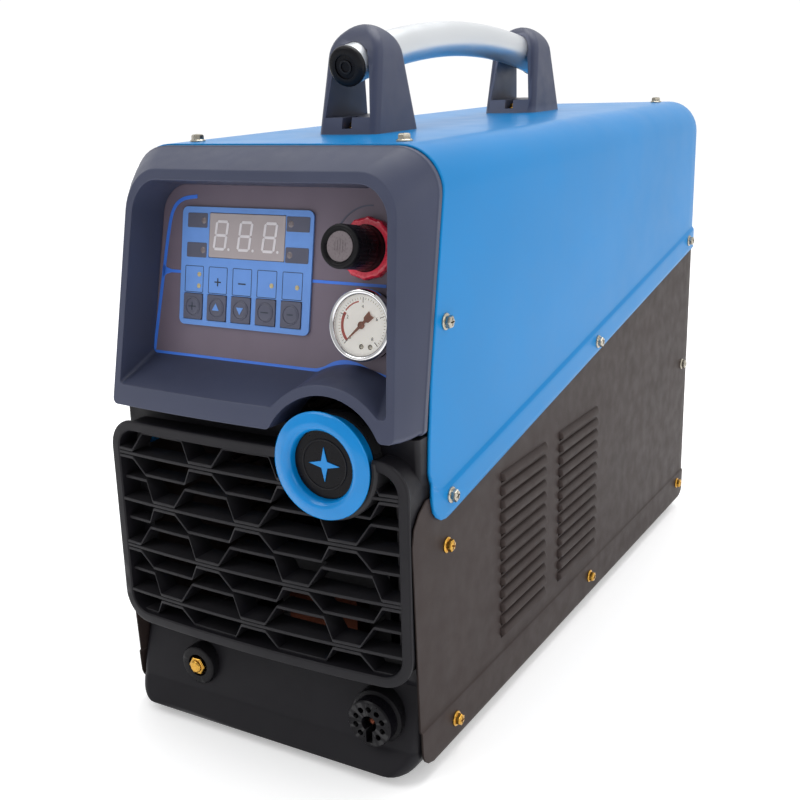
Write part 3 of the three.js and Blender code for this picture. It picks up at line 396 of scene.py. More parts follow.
def face_away_from(mesh, middle):
    """Turns an open surface so that it faces away from a point inside the unit."""
    inside = Vector(middle) * MM
    lean = sum(f.normal.dot(f.center - inside) * f.area for f in mesh.polygons)
    if lean < 0:
        mesh.flip_normals()


def add_object(name, data):
    thing = bpy.data.objects.new(name, data)
    bpy.context.scene.collection.objects.link(thing)
    return thing


def carve(thing, tools, place):
    """Cuts closed shapes out of a piece."""
    cutters = []
    for tool in tools:
        cutter = add_object("cutter", mesh_from("cutter", tool, place))
        cut = thing.modifiers.new("cut", "BOOLEAN")
        cut.operation = "DIFFERENCE"
        cut.solver = "EXACT"
        cut.object = cutter
        cutters.append(cutter)
    graph = bpy.context.evaluated_depsgraph_get()
    result = bpy.data.meshes.new_from_object(thing.evaluated_get(graph))
    thing.modifiers.clear()
    thing.data = result
    for cutter in cutters:
        bpy.data.objects.remove(cutter)


def soften(thing, bevel, steps=2):
    """Rounds the sharp edges of a piece and shades its faces evenly."""
    if bevel:
        edge = thing.modifiers.new("bevel", "BEVEL")
        edge.width = bevel * MM
        edge.segments = steps
        edge.limit_method = "ANGLE"
        edge.angle_limit = radians(32)
        edge.harden_normals = True
    even = thing.modifiers.new("even", "WEIGHTED_NORMAL")
    even.keep_sharp = True


def piece(name, shape, slot, body="case", hides=None, place=HERE, bevel=0.0, steps=2,
          thick=0.0, away=None, minus=(), sharp=40, looks=None):
    """A finished piece of the unit: mesh, material, body and the CAD node that it hides."""
    thing = add_object(name, mesh_from(name, shape, place))
    if away is not None:
        face_away_from(thing.data, away)
    if minus:
        carve(thing, minus, place)
    thing.data.materials.clear()
    thing.data.materials.append(FINISH[looks or slot])
    thing.data.shade_smooth()
    thing.data.set_sharp_from_angle(angle=radians(sharp))
    if thick:
        wall = thing.modifiers.new("wall", "SOLIDIFY")
        wall.thickness = thick * MM
        wall.offset = -1
    soften(thing, bevel, steps)
    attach(thing, body)
    if hides:
        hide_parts(hides)
    return thing


def on_face(name, shape, slot, **more):
    """A piece whose shape is given in the frame of the leaning control face."""
    piece(name, shape, slot, place=FACE, **more)


def dress(node, slot, bevel=0.0):
    """Better material and softer edges for a CAD node that stays."""
    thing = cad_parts[node]
    thing.data.materials.clear()
    thing.data.materials.append(FINISH[slot])
    if bevel:
        soften(thing, bevel)


# ---- case ----
def cover_lower(y):
    """Lower edge of the cover, with its front corner rounded off."""
    corner = 20
    return cover_edge(y) + round_off(corner, max(0.0, COVER_FRONT + corner - y))


def cover_front(z):
    """Front edge of the cover, which leans back above the grille."""
    return between(z, [(184, COVER_FRONT), (205, -252), (248, -248), (354, -229.5)])


def joggle(rise):
    """How far the cover's lower strip stands out at a height above its edge."""
    t = min(1, max(0, (rise - 16) / 3.5))
    return STRIP_OUT * (1 - t * t * (3 - 2 * t))


def cover_rails():
    """Half of the cover's section, each rail as a rule from y to (x, z)."""
    rails = []
    for rise in (0, 3, 8, 13, 16, 17, 17.8, 18.6, 19.5, 23):
        rails.append(lambda y, r=rise: (HALF_WIDTH + joggle(r), cover_lower(y) + r))
    bend = 27
    for i in range(1, 9):
        rails.append(lambda y, f=i / 9: (
            HALF_WIDTH, (cover_lower(y) + 23) * (1 - f) + (top_z(y) - bend) * f))
    for i in range(10):
        angle = radians(90 * i / 9)
        rails.append(lambda y, a=angle: (
            HALF_WIDTH - bend + bend * cos(a), top_z(y) - bend + bend * sin(a)))
    for i in range(1, 7):
        rails.append(lambda y, f=i / 6: ((HALF_WIDTH - bend) * (1 - f), top_z(y)))
    return rails


def cover():
    """Blue cover: rails of the half section run from the front edge to the rear one."""
    stations = [0, 0.004, 0.01, 0.02, 0.032, 0.045, 0.06, 0.08]
    stations += [0.08 + 0.92 * i / 34 for i in range(1, 35)]
    rows = []
    for rail in cover_rails():
        row = []
        for t in stations:
            y = COVER_FRONT + t * (REAR_Y - COVER_FRONT)
            for _ in range(6):
                front = cover_front(rail(y)[1])
                y = front + t * (REAR_Y - front)
            x, z = rail(y)
            row.append((x, y, z))
        rows.append(row)
    other = [[(-x, y, z) for x, y, z in row] for row in reversed(rows[:-1])]
    piece("cover_shell", grid(rows + other), "blue_paint", hides="top_cover", thick=SHEET,
          away=(0, 0, 200), sharp=50)


LOUVRE_COLUMNS = ((-157, -82), (-57, 21))
LOUVRE_FIRST = 50
LOUVRE_PITCH = 9.2
LOUVRE_COUNT = 13
LOUVRE_RISE = 3.1
LOUVRE_END = 2.4


def louvre_rise(y, z):
    """How far the side sheet stands out at a point: rounded hoods over dark slots."""
    reach = [min(y - y0, y1 - y) for y0, y1 in LOUVRE_COLUMNS if y0 < y < y1]
    row = round((z - LOUVRE_FIRST) / LOUVRE_PITCH)
    if not reach or not 0 <= row < LOUVRE_COUNT:
        return 0.0
    dz = z - LOUVRE_FIRST - row * LOUVRE_PITCH
    run = min(1, reach[0] / LOUVRE_END)
    if -1.7 <= dz <= 4:
        swell = sqrt(max(0.0, 1 - ((dz + 0.9) / 4.9) ** 2))
        return LOUVRE_RISE * swell * sqrt(1 - (1 - run) ** 2)
    if -3.3 <= dz < -1.7 and reach[0] > 1:
        return -1.3
    return 0.0


def panel_front(z):
    """Front edge of the side panel, rounded at its foot and under the cover."""
    edge = between(z, [(PANEL_FOOT, -267), (155.7, -273), (166, -270.9), (173.6, -264.8),
                       (179, -256)])
    corner = 12
    return edge + round_off(corner, max(0.0, PANEL_FOOT + corner - z))


def panel_rear(z):
    """Rear edge of the side panel, rounded at its foot."""
    corner = 10
    return REAR_Y - round_off(corner, max(0.0, PANEL_FOOT + corner - z))


def panel_stations():
    """Places along the side sheet, close together where the louvres start and end."""
    places = [-240, -200, -170]
    for y0, y1 in LOUVRE_COLUMNS:
        ends = (0, 0.15, 0.5, 1, 1.7, LOUVRE_END, 6)
        places += [y0 + e for e in ends]
        places += [y0 + (y1 - y0) * f for f in (0.3, 0.5, 0.7)]
        places += [y1 - e for e in reversed(ends)]
    return places + [40, 80, 120, 160, 200, 240, 257]


def panel_levels():
    """Heights on the side sheet, close together at the stepped strip and the louvres."""
    levels = [PANEL_FOOT, 12, 14.5, 17, 20, 28, 35, 35.8, 36.6, 40]
    for i in range(LOUVRE_COUNT):
        middle = LOUVRE_FIRST + i * LOUVRE_PITCH
        levels += [middle + d for d in (-3.9, -3.3, -3.2, -1.9, -1.7, -0.8, 0.8, 2.4, 3.4, 4)]
    return sorted(levels) + [PANEL_SHOULDER]


def side_panel(side, name, node):
    """Side sheet: level rows to the shoulder, then rows that slant up behind the cover."""
    stations = panel_stations()
    rows = []
    for z in panel_levels():
        strip = 1.2 * min(1, max(0, (36.6 - z) / 1.6))
        row = [panel_front(z)] + stations + [panel_rear(z)]
        rows.append([(HALF_WIDTH + strip + louvre_rise(y, z), y, z) for y in row])
    for f in (0.2, 0.4, 0.6, 0.8, 1):
        z = PANEL_SHOULDER + f * 13
        row = [(HALF_WIDTH, panel_front(z), z)]
        for y in stations + [REAR_Y]:
            top = max(PANEL_SHOULDER + 13, cover_edge(y) + 14)
            row.append((HALF_WIDTH, y, PANEL_SHOULDER + f * (top - PANEL_SHOULDER)))
        rows.append(row)
    rows = [[(side * x, y, z) for x, y, z in row] for row in rows]
    piece(name, grid(rows), "black_paint", hides=node, thick=1.4, away=(0, 0, 100), sharp=50)


def screw_shape():
    """Washer-head screw standing on the XY plane at the origin, its head six-sided."""
    profile = [(0, 0), (4.9, 0), (4.9, 0.7), (4.2, 1.3), (3.8, 1.4), (3.8, 3.4), (3.4, 4.1),
               (2.6, 4.5), (0, 4.7)]

    def flats(angle, y):
        if y < 1.35:
            return 0.0
        off = (angle + pi / 6) % (pi / 3) - pi / 6
        return cos(pi / 6) / cos(off) * 1.05 - 1

    return moved(turned(profile, 0, 0, 48, ripple=flats), spin(90, "X"))


# Each side screw as (y, z, finish, how far the sheet under it stands out)
SIDE_SCREWS = (
    (-230, 278, "steel", 0), (-229, 174, "steel", 1.8), (15, 217, "steel", 1.8),
    (253, 265, "steel", 1.8), (-232, 143, "brass", 0), (-225, 23, "brass", 1.2),
    (9.5, 25, "brass", 1.2), (250, 27, "brass", 1.2), (253, 147, "steel", 0),
)
TOP_SCREWS = ((-76, -211), (76, -211), (-76, 255), (76, 255))


def screw_set(name, spots, kind, hides=None):
    """Several screws as one piece, each standing at its spot with a cross cut in its head."""
    piece(name, merged([moved(screw_shape(), spot) for spot in spots]), kind, hides=hides,
          bevel=0.2, minus=[merged([moved(cross_cut(), spot) for spot in spots])])


def screws():
    for side, word in ((1, "right"), (-1, "left")):
        for kind in ("steel", "brass"):
            spots = [spot_of(side, entry, i) for i, entry in enumerate(SIDE_SCREWS)
                     if entry[2] == kind]
            screw_set(f"screws_{kind}_{word}", spots, kind,
                      f"fixings_{word}" if kind == "steel" else None)
    spots = [at(x, y, top_z(y)) @ Matrix.Rotation(0.4 * i, 4, "Z")
             for i, (x, y) in enumerate(TOP_SCREWS)]
    screw_set("screws_top", spots, "steel", "fixings_top")


def spot_of(side, entry, i):
    """Where a side screw stands, each with its cross turned a little further."""
    y, z, _, lift = entry
    return at(side * (HALF_WIDTH + lift), y, z) @ spin(90 * side, "Y") @ spin(17 * i, "Z")


def cross_cut():
    """Cross-shaped recess for a screw head, as one closed shape."""
    long, slim = 2.2, 0.45
    outline = [(slim, slim), (slim, long), (-slim, long), (-slim, slim), (-long, slim),
               (-long, -slim), (-slim, -slim), (-slim, -long), (slim, -long), (slim, -slim),
               (long, -slim), (long, slim)]
    return prism(outline, 3.2, 6, "Z")


def feet():
    """Four rubber feet with a ring pressed into the sole."""
    profile = [(0, 0), (10.5, 0), (12, 0.8), (12.6, 3), (15, 9), (15, 9.7), (0, 9.7)]
    for end, y in (("front", -215), ("rear", 215)):
        for word, x in (("left", -82), ("right", 82)):
            lay = at(x, y, 0) @ spin(90, "X")
            foot = moved(turned(profile, 0, 0, 40), lay)
            ring = moved(turned([(5, 0), (6, 0), (6, 2), (5, 2)], 0, 0, 32, True), lay)
            piece(f"rubber_foot_{end}_{word}", foot, "rubber", bevel=0.3,
                  hides=f"foot_{end}_{word}", minus=[ring])


# ---- moulded front ----
def cover_edge_y(z):
    """Front edge of the cover as the bezel's rear rim follows it."""
    return min(-229.5, max(-252.2, -230 - (351 - z) * 0.175))


def lip_y(z):
    """Leaning plane of the bezel's lip."""
    return -277.4 + (z - 221) * tan(LEAN)


def face_y(z):
    """Leaning plane of the control face."""
    return -246 + (z - 245) * tan(LEAN)


def straight(start, end, steps):
    """Points between two corners, without the corners themselves."""
    (a0, b0), (a1, b1) = start, end
    return [(a0 + (a1 - a0) * i / steps, b0 + (b1 - b0) * i / steps)
            for i in range(1, steps)]


def over_top(half, low, high, lower, upper, up_steps, across_steps):
    """Loop up the right side, over the top and down the left side of a rounded outline."""
    points = straight((half, low + lower), (half, high - upper), up_steps)
    points += arc(half - upper, high - upper, upper, 0, 90, 10)
    points += straight((half - upper, high), (-half + upper, high), across_steps)
    points += arc(-half + upper, high - upper, upper, 90, 180, 10)
    return points + straight((-half, high - upper), (-half, low + lower), up_steps)


def bezel_outline(low, high, half, half_high, lower, upper, arch, fillet):
    """Front view loop of the bezel, whose lower edge arches over the badge.

    half and half_high are its half widths at the bottom and the top, lower and upper its
    corner radii, arch the radius about the badge and fillet the radius where the arch ends.
    """
    bx, bz = BADGE
    lift = low + fillet - bz
    away = sqrt((arch + fillet) ** 2 - lift ** 2)
    x_in, x_out = bx - away, bx + away
    dip = degrees(atan2(lift, away))
    points = arc(-half + lower, low + lower, lower, 180, 270, 6)
    points += straight((-half + lower, low), (x_in, low), 12)
    points += arc(x_in, low + fillet, fillet, -90, -dip, 6)
    points += arc(bx, bz, arch, 180 - dip, dip, 20)[1:]
    points += arc(x_out, low + fillet, fillet, 180 + dip, 270, 6)[1:]
    points += straight((x_out, low), (half - lower, low), 3)
    points += arc(half - lower, low + lower, lower, -90, 0, 6)
    points += over_top(half, low, high, lower, upper, 10, 16)
    taper = (half_high / half - 1) / (high - low)
    return [(x * (1 + taper * (z - low)), z) for x, z in points]


def bezel():
    """Upper bezel: loops from its rear rim round the lip and down into the deep pocket."""
    rim = bezel_outline(217, 375, 110.8, 110.8, 4, 27, 39.6, 5)
    bead = bezel_outline(217.6, 374.2, 110, 110, 4, 26.5, 40, 5)
    outer = bezel_outline(217, 362.5, 103.7, 96, 4, 25, 40, 4)
    inner = bezel_outline(230, 356, 98, 90.8, 2.5, 20, 46, 4)
    pocket = bezel_outline(244.5, 351, 95.6, 89.6, 3, 18, 51, 6)
    first = [(x, cover_edge_y(z) - 0.8, z) for x, z in rim]
    second = [(x, cover_edge_y(z) - 4.6, z) for x, z in rim]
    third = [(x, cover_edge_y(z) - 5.4, z) for x, z in bead]
    front = [(x, lip_y(z) - bulge(x), z) for x, z in outer]
    middle = []
    for t, swell in ((0.3, 1.006), (0.65, 1.007)):
        spots = [Vector(a).lerp(Vector(b), t) for a, b in zip(third, front)]
        middle.append([(p.x * swell, p.y, 300 + (p.z - 300) * swell) for p in spots])
    mouth = [(x, lip_y(z) - bulge(x), z) for x, z in inner]
    back = [(x, face_y(z) - 0.3, z) for x, z in pocket]
    half_way = [tuple(Vector(a).lerp(Vector(b), 0.5)) for a, b in zip(mouth, back)]
    loops = [first, second, third] + middle + [front, mouth, half_way, back]
    piece("bezel_moulding", loft(loops), "slate_plastic", hides="upper_bezel", bevel=1.5, steps=3,
          away=(0, -200, 300), thick=1.6)


# Where the fascia's front is at a height, and its opening as (half width, bottom, top)
FASCIA_FRONT = [(6, -278.8), (7.2, -280.2), (21, -270.5), (60, -259), (64, -261),
                (215.5, -261)]
FASCIA_OPENING = (98, 75, 197)


def fascia():
    """Lower front: a leaning strip with a chin, side walls and the frame behind the grille."""
    levels = [6, 6.6, 7.2, 8, 9, 11, 13, 15, 17, 19, 20, 21, 22, 25, 30, 40, 50, 58, 60, 62,
              64, 66, 76, 100, 136, 172, 196, 206, 215.5]
    corner = 13
    rows = []
    for z in levels:
        half = 109.1 - round_off(corner, max(0.0, levels[0] + corner - z))
        y = between(z, FASCIA_FRONT)
        turn = between(z, [(6, 11), (15, 9), (26, 5), (58, 5), (66, 3)])
        side = [(half, -246, max(z, 10.4))]
        for heading in (90, 72, 54, 36, 18, 0):
            angle = radians(heading)
            side.append((half - turn + turn * sin(angle), y + turn * (1 - cos(angle)), z))
        middle = [(x * min(1, (half - turn) / 98), y, z) for x in (94, 60, 20, -20, -60, -94)]
        other = [(-x, back, height) for x, back, height in reversed(side)]
        rows.append(side + middle + other)
    points, faces = grid(rows)
    half, low, high = FASCIA_OPENING
    walls = []
    for face in faces:
        spots = [points[i] for i in face]
        if not all(abs(x) < half and low < z < high for x, _, z in spots):
            walls.append(face)
    piece("fascia_moulding", (points, walls), "dark_plastic", hides="lower_fascia",
          away=(0, -150, 120), thick=2.4, bevel=0.9, steps=3)


# ---- grille: three shelves for each row of cells ----
GRILLE_Y = -276.5
GRILLE_BACK = -262.5
GRILLE_BOTTOM, GRILLE_TOP = 65.6, 206.7
GRILLE_CORNER = 20
SHELF_WALL = 2.0
CELL_PITCH = 67.7
FLAT_LEVELS = (184.2, 151.8, 119.4, 87.0)


def grille_limit(z, inset):
    """Half-width inside the grille frame's rounded outline at a height."""
    low, high = GRILLE_BOTTOM + GRILLE_CORNER, GRILLE_TOP - GRILLE_CORNER
    return HALF_WIDTH - round_off(GRILLE_CORNER, max(0.0, low - z, z - high)) - inset


def wave_height(x, near, far, shift, flat):
    """Trapezoid wave between its near and far heights; far runs are the wide ones."""
    wide, narrow = 34.0, 18.6
    slope = (CELL_PITCH - wide - narrow) / 2
    away = abs((x - shift + CELL_PITCH / 2) % CELL_PITCH - CELL_PITCH / 2)
    t = min(1, max(0, (away - wide / 2) / slope))
    return flat + far + (near - far) * t


def shelf(height, recess):
    """One shelf that follows a height rule, split where the badge sits in front of it."""
    runs = [[]]
    for i in range(-140, 141):
        x = i * 0.8
        z = height(x)
        hidden = dist((x, z), BADGE) < BADGE_SPACE - 0.3
        if hidden or abs(x) > grille_limit(z, 3.5):
            runs.append([])
        else:
            runs[-1].append((x, GRILLE_Y - bulge(x) + 0.6 + recess(z), z))
    shapes = []
    for run in runs:
        if len(run) < 3:
            continue
        loops = []
        for x, y, z in (run[i] for i in simplified(run)):
            above, below = z + SHELF_WALL / 2, z - SHELF_WALL / 2
            loops.append([(x, y, above), (x, y, below), (x, GRILLE_BACK, below),
                          (x, GRILLE_BACK, above)])
        shapes.append(loft(loops, ends=True))
    return merged(shapes)


def simplified(line):
    """Indexes of the points where a line turns, plus every sixth point between."""
    keep = [0]
    for i in range(1, len(line) - 1):
        a, b, c = line[i - 1], line[i], line[i + 1]
        turn = abs((c[2] - b[2]) - (b[2] - a[2]))
        if turn > 0.02 or i - keep[-1] >= 6:
            keep.append(i)
    return keep + [len(line) - 1]


def grille_ring(inset, y, crowned=True):
    """Loop of the grille frame, inset from its outer edge."""
    radius = max(1.0, GRILLE_CORNER - inset)
    low, high, half = GRILLE_BOTTOM + inset, GRILLE_TOP - inset, HALF_WIDTH - inset
    points = arc(-half + radius, low + radius, radius, 180, 270, 10)
    points += straight((-half + radius, low), (half - radius, low), 24)
    points += arc(half - radius, low + radius, radius, -90, 0, 10)
    points += over_top(half, low, high, radius, radius, 12, 24)
    return [(x, y - (bulge(x) if crowned else 0), z) for x, z in points]


def grille_frame():
    """Rounded frame of the grille; each loop is (inset, y, whether it is crowned)."""
    band = 7
    front, back = GRILLE_Y, GRILLE_BACK
    outer = [(1.9, back + 10, False), (1.7, back, False), (1.7, front + 5.5, False),
             (0.9, front + 3, True), (0.2, front + 1.8, True), (0.5, front + 0.6, True),
             (1.6, front, True)]
    inner = [(band - 0.8, front + 0.1, True), (band, front + 0.9, True),
             (band + 0.4, front + 7, False), (band + 0.4, back + 10, False)]
    loops = [grille_ring(*entry) for entry in outer + inner]
    space = turned([(0, -300), (BADGE_SPACE, -300), (BADGE_SPACE, -250), (0, -250)], *BADGE, 96)
    piece("grille_frame", loft(loops, closed=True), "dark_plastic", hides="front_grille",
          bevel=0.35, minus=[space], sharp=30)


def grille():
    grille_frame()
    shapes = []
    for i, flat in enumerate(FLAT_LEVELS):
        shift = 0 if i % 2 == 0 else CELL_PITCH / 2

        def recess(z, flat=flat):
            return 0.27 * max(0.0, abs(z - flat) - 2.5)

        shapes.append(shelf(lambda x: wave_height(x, 2.4, 14.4, shift, flat), recess))
        shapes.append(shelf(lambda x: flat, recess))
        shapes.append(shelf(lambda x: wave_height(x, -2.6, -14.0, shift, flat), recess))
    piece("grille_shelves", merged(shapes), "dark_plastic", sharp=30, bevel=0.4)
    collar = [(BADGE_SPACE, -279), (32.6, -279), (34.2, -277.6), (34.6, -276),
              (34.6, GRILLE_BACK), (BADGE_SPACE, GRILLE_BACK)]
    above = block((0, -290, 204.5), (120, -240, 260))
    piece("grille_collar", turned(collar, *BADGE, 96, True), "dark_plastic", sharp=30,
          minus=[above])


def badge():
    x, z = BADGE
    ring = [(20.8, -270), (20.8, -281.9), (21.3, -283.4), (22.4, -284.8), (23.9, -285.7),
            (25.4, -285.9), (27, -285.7), (30.6, -284.5), (31.9, -283.8), (32.3, -283.1),
            (32.2, -282.4), (31.4, -282.1), (27.4, -281.6), (27, -281), (27, -270)]
    piece("badge_rim", turned(ring, x, z, 96, True), "blue_plastic", hides="badge_ring", sharp=60)
    disc = [(0, -279.6), (14, -279.6), (14.3, -280.1), (15.1, -280.1), (15.4, -279.6),
            (20.4, -279.5), (20.4, -269.7), (28, -269.7), (28, -261.3), (0, -261.3)]
    piece("badge_face", turned(disc, x, z, 96), "black_plastic", hides="badge_disc", sharp=50)
    star = [around(BADGE, 10.6 if i % 2 == 0 else 2.9, 45 * i) for i in range(8)]
    piece("badge_spark", prism(star, -280.2, -279.5), "blue_plastic", bevel=0.2)


# ---- control face, in its leaning frame: x across, -y outward, v up ----
def plate(x0, x1, v0, v1, radius, out, back, steps=5):
    return prism(rounded(x0, x1, v0, v1, radius, radius, steps), -out, -back)


def ribbon(path, widths, out=0.28, back=-0.2):
    """Flat printed line along a path of (x, v) points."""
    left, right = [], []
    for i, (x, v) in enumerate(path):
        x0, v0 = path[max(0, i - 1)]
        x1, v1 = path[min(len(path) - 1, i + 1)]
        length = hypot(x1 - x0, v1 - v0)
        nx, nv = -(v1 - v0) / length, (x1 - x0) / length
        half = (widths[i] if isinstance(widths, list) else widths) / 2
        left.append((x + nx * half, v + nv * half))
        right.append((x - nx * half, v - nv * half))
    loops = []
    for (ax, av), (bx, bv) in zip(left, right):
        loops.append([(ax, -out, av), (bx, -out, bv), (bx, -back, bv), (ax, -back, av)])
    return loft(loops, ends=True)


def smooth_path(points, steps=8):
    """Catmull-Rom line through a few points."""
    spots = [points[0]] + list(points) + [points[-1]]
    line = []
    for i in range(1, len(spots) - 2):
        p = [Vector(spots[k]) for k in (i - 1, i, i + 1, i + 2)]
        for j in range(steps):
            t = j / steps
            line.append(tuple(0.5 * (2 * p[1] + (p[2] - p[0]) * t
                                     + (2 * p[0] - 5 * p[1] + 4 * p[2] - p[3]) * t * t
                                     + (3 * p[1] - p[0] - 3 * p[2] + p[3]) * t ** 3)))
    return line + [tuple(points[-1])]


KEY_COLUMNS = [-62.9 + 18.9 * i for i in range(5)]
KEY_V = 31.6
FLOW_V = 52.7                     # height of the level printed lines
WINDOW = (-52, 5.7, 62.9, 90.2)


def panel_lines():
    """Flow line printed on the panel, and the arc by the knob."""
    blue = [
        ribbon(smooth_path([(-95.2, 0), (-92.3, 26), (-89.4, 52), (-86.6, 76), (-83.2, 91),
                            (-76, 98), (-64, 100.2)]), 2.3),
        ribbon([(-95.8, -0.6), (-40, -0.6), (26, -0.6)]
               + smooth_path([(32, -0.4), (38, 1.4), (45, 5), (52.5, 6.6), (61, 5.6),
                              (70, 2.6), (80, 0.4)]), 3.2),
        ribbon([(-90, FLOW_V), (-87, FLOW_V), (-83, FLOW_V), (-74.2, FLOW_V)],
               [9, 4.2, 2, 1.8]),
        ribbon([(26.2, FLOW_V), (50, FLOW_V), (77, FLOW_V)], 1.8),
    ]
    on_face("panel_lines", merged(blue), "panel_print", looks="line_blue")
    on_face("panel_arc", ribbon(arc(*KNOB, 24.5, 88, 190, 16), 1.0), "panel_print",
            looks="key_print")


def label_fields():
    """Four dark fields beside the display, each with an unlit lamp."""
    bead = [(0, -2.1), (1.5, -2.0), (2.1, -1.7), (2.1, -1.3), (0, -1.3)]
    labels = []
    lamps = []
    for x0, x1, lamp in ((-69.5, -53.8, -56.6), (6.6, 23.4, 9.8)):
        for v0, v1 in ((80.9, 89.9), (62.4, 71.6)):
            labels.append(plate(x0, x1, v0, v1, 0.8, 1.75, 1.2))
            lamps.append(turned(bead, lamp, (v0 + v1) / 2, 20))
    on_face("label_fields", merged(labels), "keypad_print", looks="key_print", bevel=0.12)
    on_face("label_lamps", merged(lamps), "keypad_print", looks="lamp_dim")


def key_fields():
    """Outlined fields over the keys, with a plus, a minus and small lamps in them."""
    frames = []
    for x in KEY_COLUMNS:
        box = rounded(x - 7.2, x + 7.2, 40.6, 56.9, 0.6, 0.6, 3)
        frames.append(ribbon(box + box[:1], 0.35, out=1.62, back=1.3))
    on_face("field_lines", merged(frames), "keypad_print", looks="print_dark")
    x_plus, x_minus = KEY_COLUMNS[1], KEY_COLUMNS[2]
    signs = [plate(x_plus - 2.5, x_plus + 2.5, 47.3, 48.1, 0.1, 1.66, 1.3),
             plate(x_plus - 0.4, x_plus + 0.4, 45.2, 50.2, 0.1, 1.68, 1.3),
             plate(x_minus - 2.9, x_minus + 2.9, 47.3, 48.1, 0.1, 1.66, 1.3)]
    on_face("sign_marks", merged(signs), "keypad_print", looks="print_dark")
    bead = [(0, -2.0), (1.0, -1.95), (1.5, -1.7), (1.5, -1.3), (0, -1.3)]
    spots = ((KEY_COLUMNS[0] + 4, 51.8), (KEY_COLUMNS[0] + 4, 44.6), (KEY_COLUMNS[3] + 3.6, 48),
             (KEY_COLUMNS[4] + 3.6, 48))
    on_face("small_lamps", merged([turned(bead, *spot, 16) for spot in spots]), "keypad_print",
            looks="lamp_amber")


def control_face():
    dress("control_panel", "panel_print", 0.3)
    dress("keypad_overlay", "keypad_print", 0.25)
    panel_lines()
    label_fields()
    key_fields()


def display():
    x0, x1, v0, v1 = WINDOW
    pane = plate(x0, x1, v0, v1, 0.8, 1.75, 0.3)
    on_face("display_pane", pane, "display_window", bevel=0.25, hides="display_window")
    bars = []
    for centre in (-42.6, -24, -5.4):
        bars += digit(centre, 76.7)
    on_face("display_digits", merged(bars), "display_window", looks="print_pale")


def digit(x, v):
    """Seven bars and a point, leaning a little to the right."""
    wide, tall, bar, out = 10.2, 18.6, 1.7, 1.95
    lean = tan(radians(7))

    def bar_between(a, b):
        (ax, av), (bx, bv) = a, b
        length = hypot(bx - ax, bv - av)
        dx, dv = (bx - ax) / length, (bv - av) / length
        nx, nv = -dv * bar / 2, dx * bar / 2
        cut = bar * 0.55
        outline = [(ax + dx * 0.25, av + dv * 0.25),
                   (ax + dx * cut + nx, av + dv * cut + nv),
                   (bx - dx * cut + nx, bv - dv * cut + nv),
                   (bx - dx * 0.25, bv - dv * 0.25),
                   (bx - dx * cut - nx, bv - dv * cut - nv),
                   (ax + dx * cut - nx, av + dv * cut - nv)]
        slanted = [(x + px + pv * lean, v + pv) for px, pv in outline]
        return prism(slanted, -out, -1.6)

    w, t = (wide - bar) / 2, (tall - bar) / 2
    corners = {"tl": (-w, t), "tr": (w, t), "ml": (-w, 0), "mr": (w, 0), "bl": (-w, -t),
               "br": (w, -t)}
    pairs = (("tl", "tr"), ("ml", "mr"), ("bl", "br"), ("tl", "ml"), ("tr", "mr"),
             ("ml", "bl"), ("mr", "br"))
    bars = [bar_between(corners[a], corners[b]) for a, b in pairs]
    bars.append(turned([(0, -out), (0.9, -out), (0.9, -1.6), (0, -1.6)], x + wide / 2 + 1.2,
                       v - t, 14))
    return bars


def key_cap(i, x):
    """One key: its cap, a low dome and a rim round the dome."""
    cap = plate(x - 7.4, x + 7.4, KEY_V - 7.95, KEY_V + 7.95, 1.2, 2.2, 0.9)
    dome = turned([(0, -2.75), (3.6, -2.72), (4.5, -2.6), (5.1, -2.3), (5.2, -2.1),
                   (0, -2.1)], x, KEY_V, 40)
    rim = turned([(5.2, -2.15), (5.35, -2.55), (5.7, -2.65), (6.0, -2.5), (6.1, -2.15)],
                 x, KEY_V, 40, True)
    on_face(f"key_cap_{i + 1}", merged([cap, dome, rim]), "key_print", body=f"key_{i + 1}",
            hides=f"key_{i + 1}", bevel=0.2)


def keys():
    """Five keys: two have an arrow, the others plain bars as (left, right, half height)."""
    for i, x in enumerate(KEY_COLUMNS):
        key_cap(i, x)
    for i, up in ((1, 1), (2, -1)):
        x = KEY_COLUMNS[i]
        outline = [(x - 2.7, KEY_V - 1.6 * up), (x + 2.7, KEY_V - 1.6 * up),
                   (x, KEY_V + 2.9 * up)]
        on_face(f"key_arrow_{i + 1}", prism(outline, -2.95, -2.6), "key_print",
                body=f"key_{i + 1}", looks="keypad_print")
    marks = {0: [(-2.6, 2.6, 0.35), (0, 0, 2.6)], 3: [(-2.6, 2.6, 0.35)], 4: [(-1.8, 1.8, 0.35)]}
    for i, bars in marks.items():
        x = KEY_COLUMNS[i]
        shapes = [plate(x + low - 0.25, x + high + 0.25, KEY_V - half, KEY_V + half, 0.12,
                        2.9, 2.6, 2) for low, high, half in bars]
        on_face(f"key_mark_{i + 1}", merged(shapes), "key_print", body=f"key_{i + 1}",
                looks="print_dark")


# ---- gauge ----
def gauge_case():
    """Chrome rim and black case."""
    rim = [(17.5, -11.6), (17.9, -12.4), (18.6, -12.9), (19.5, -13), (20.3, -12.7),
           (20.9, -12), (21, -11), (21, -7.4), (20.7, -6.8), (20.15, -6.6), (20.15, -9.4),
           (17.5, -9.4)]
    on_face("gauge_rim", turned(rim, *GAUGE, 96, True), "chrome", sharp=50, hides="gauge_bezel")
    body = [(0, -8.4), (18, -8.4), (18, -9.3), (19.8, -9.3), (19.8, -0.3), (17, -0.3),
            (17, 14), (7, 14), (7, 22), (0, 22)]
    on_face("gauge_body", turned(body, *GAUGE, 72), "black_plastic", bevel=0.4, hides="gauge_case")


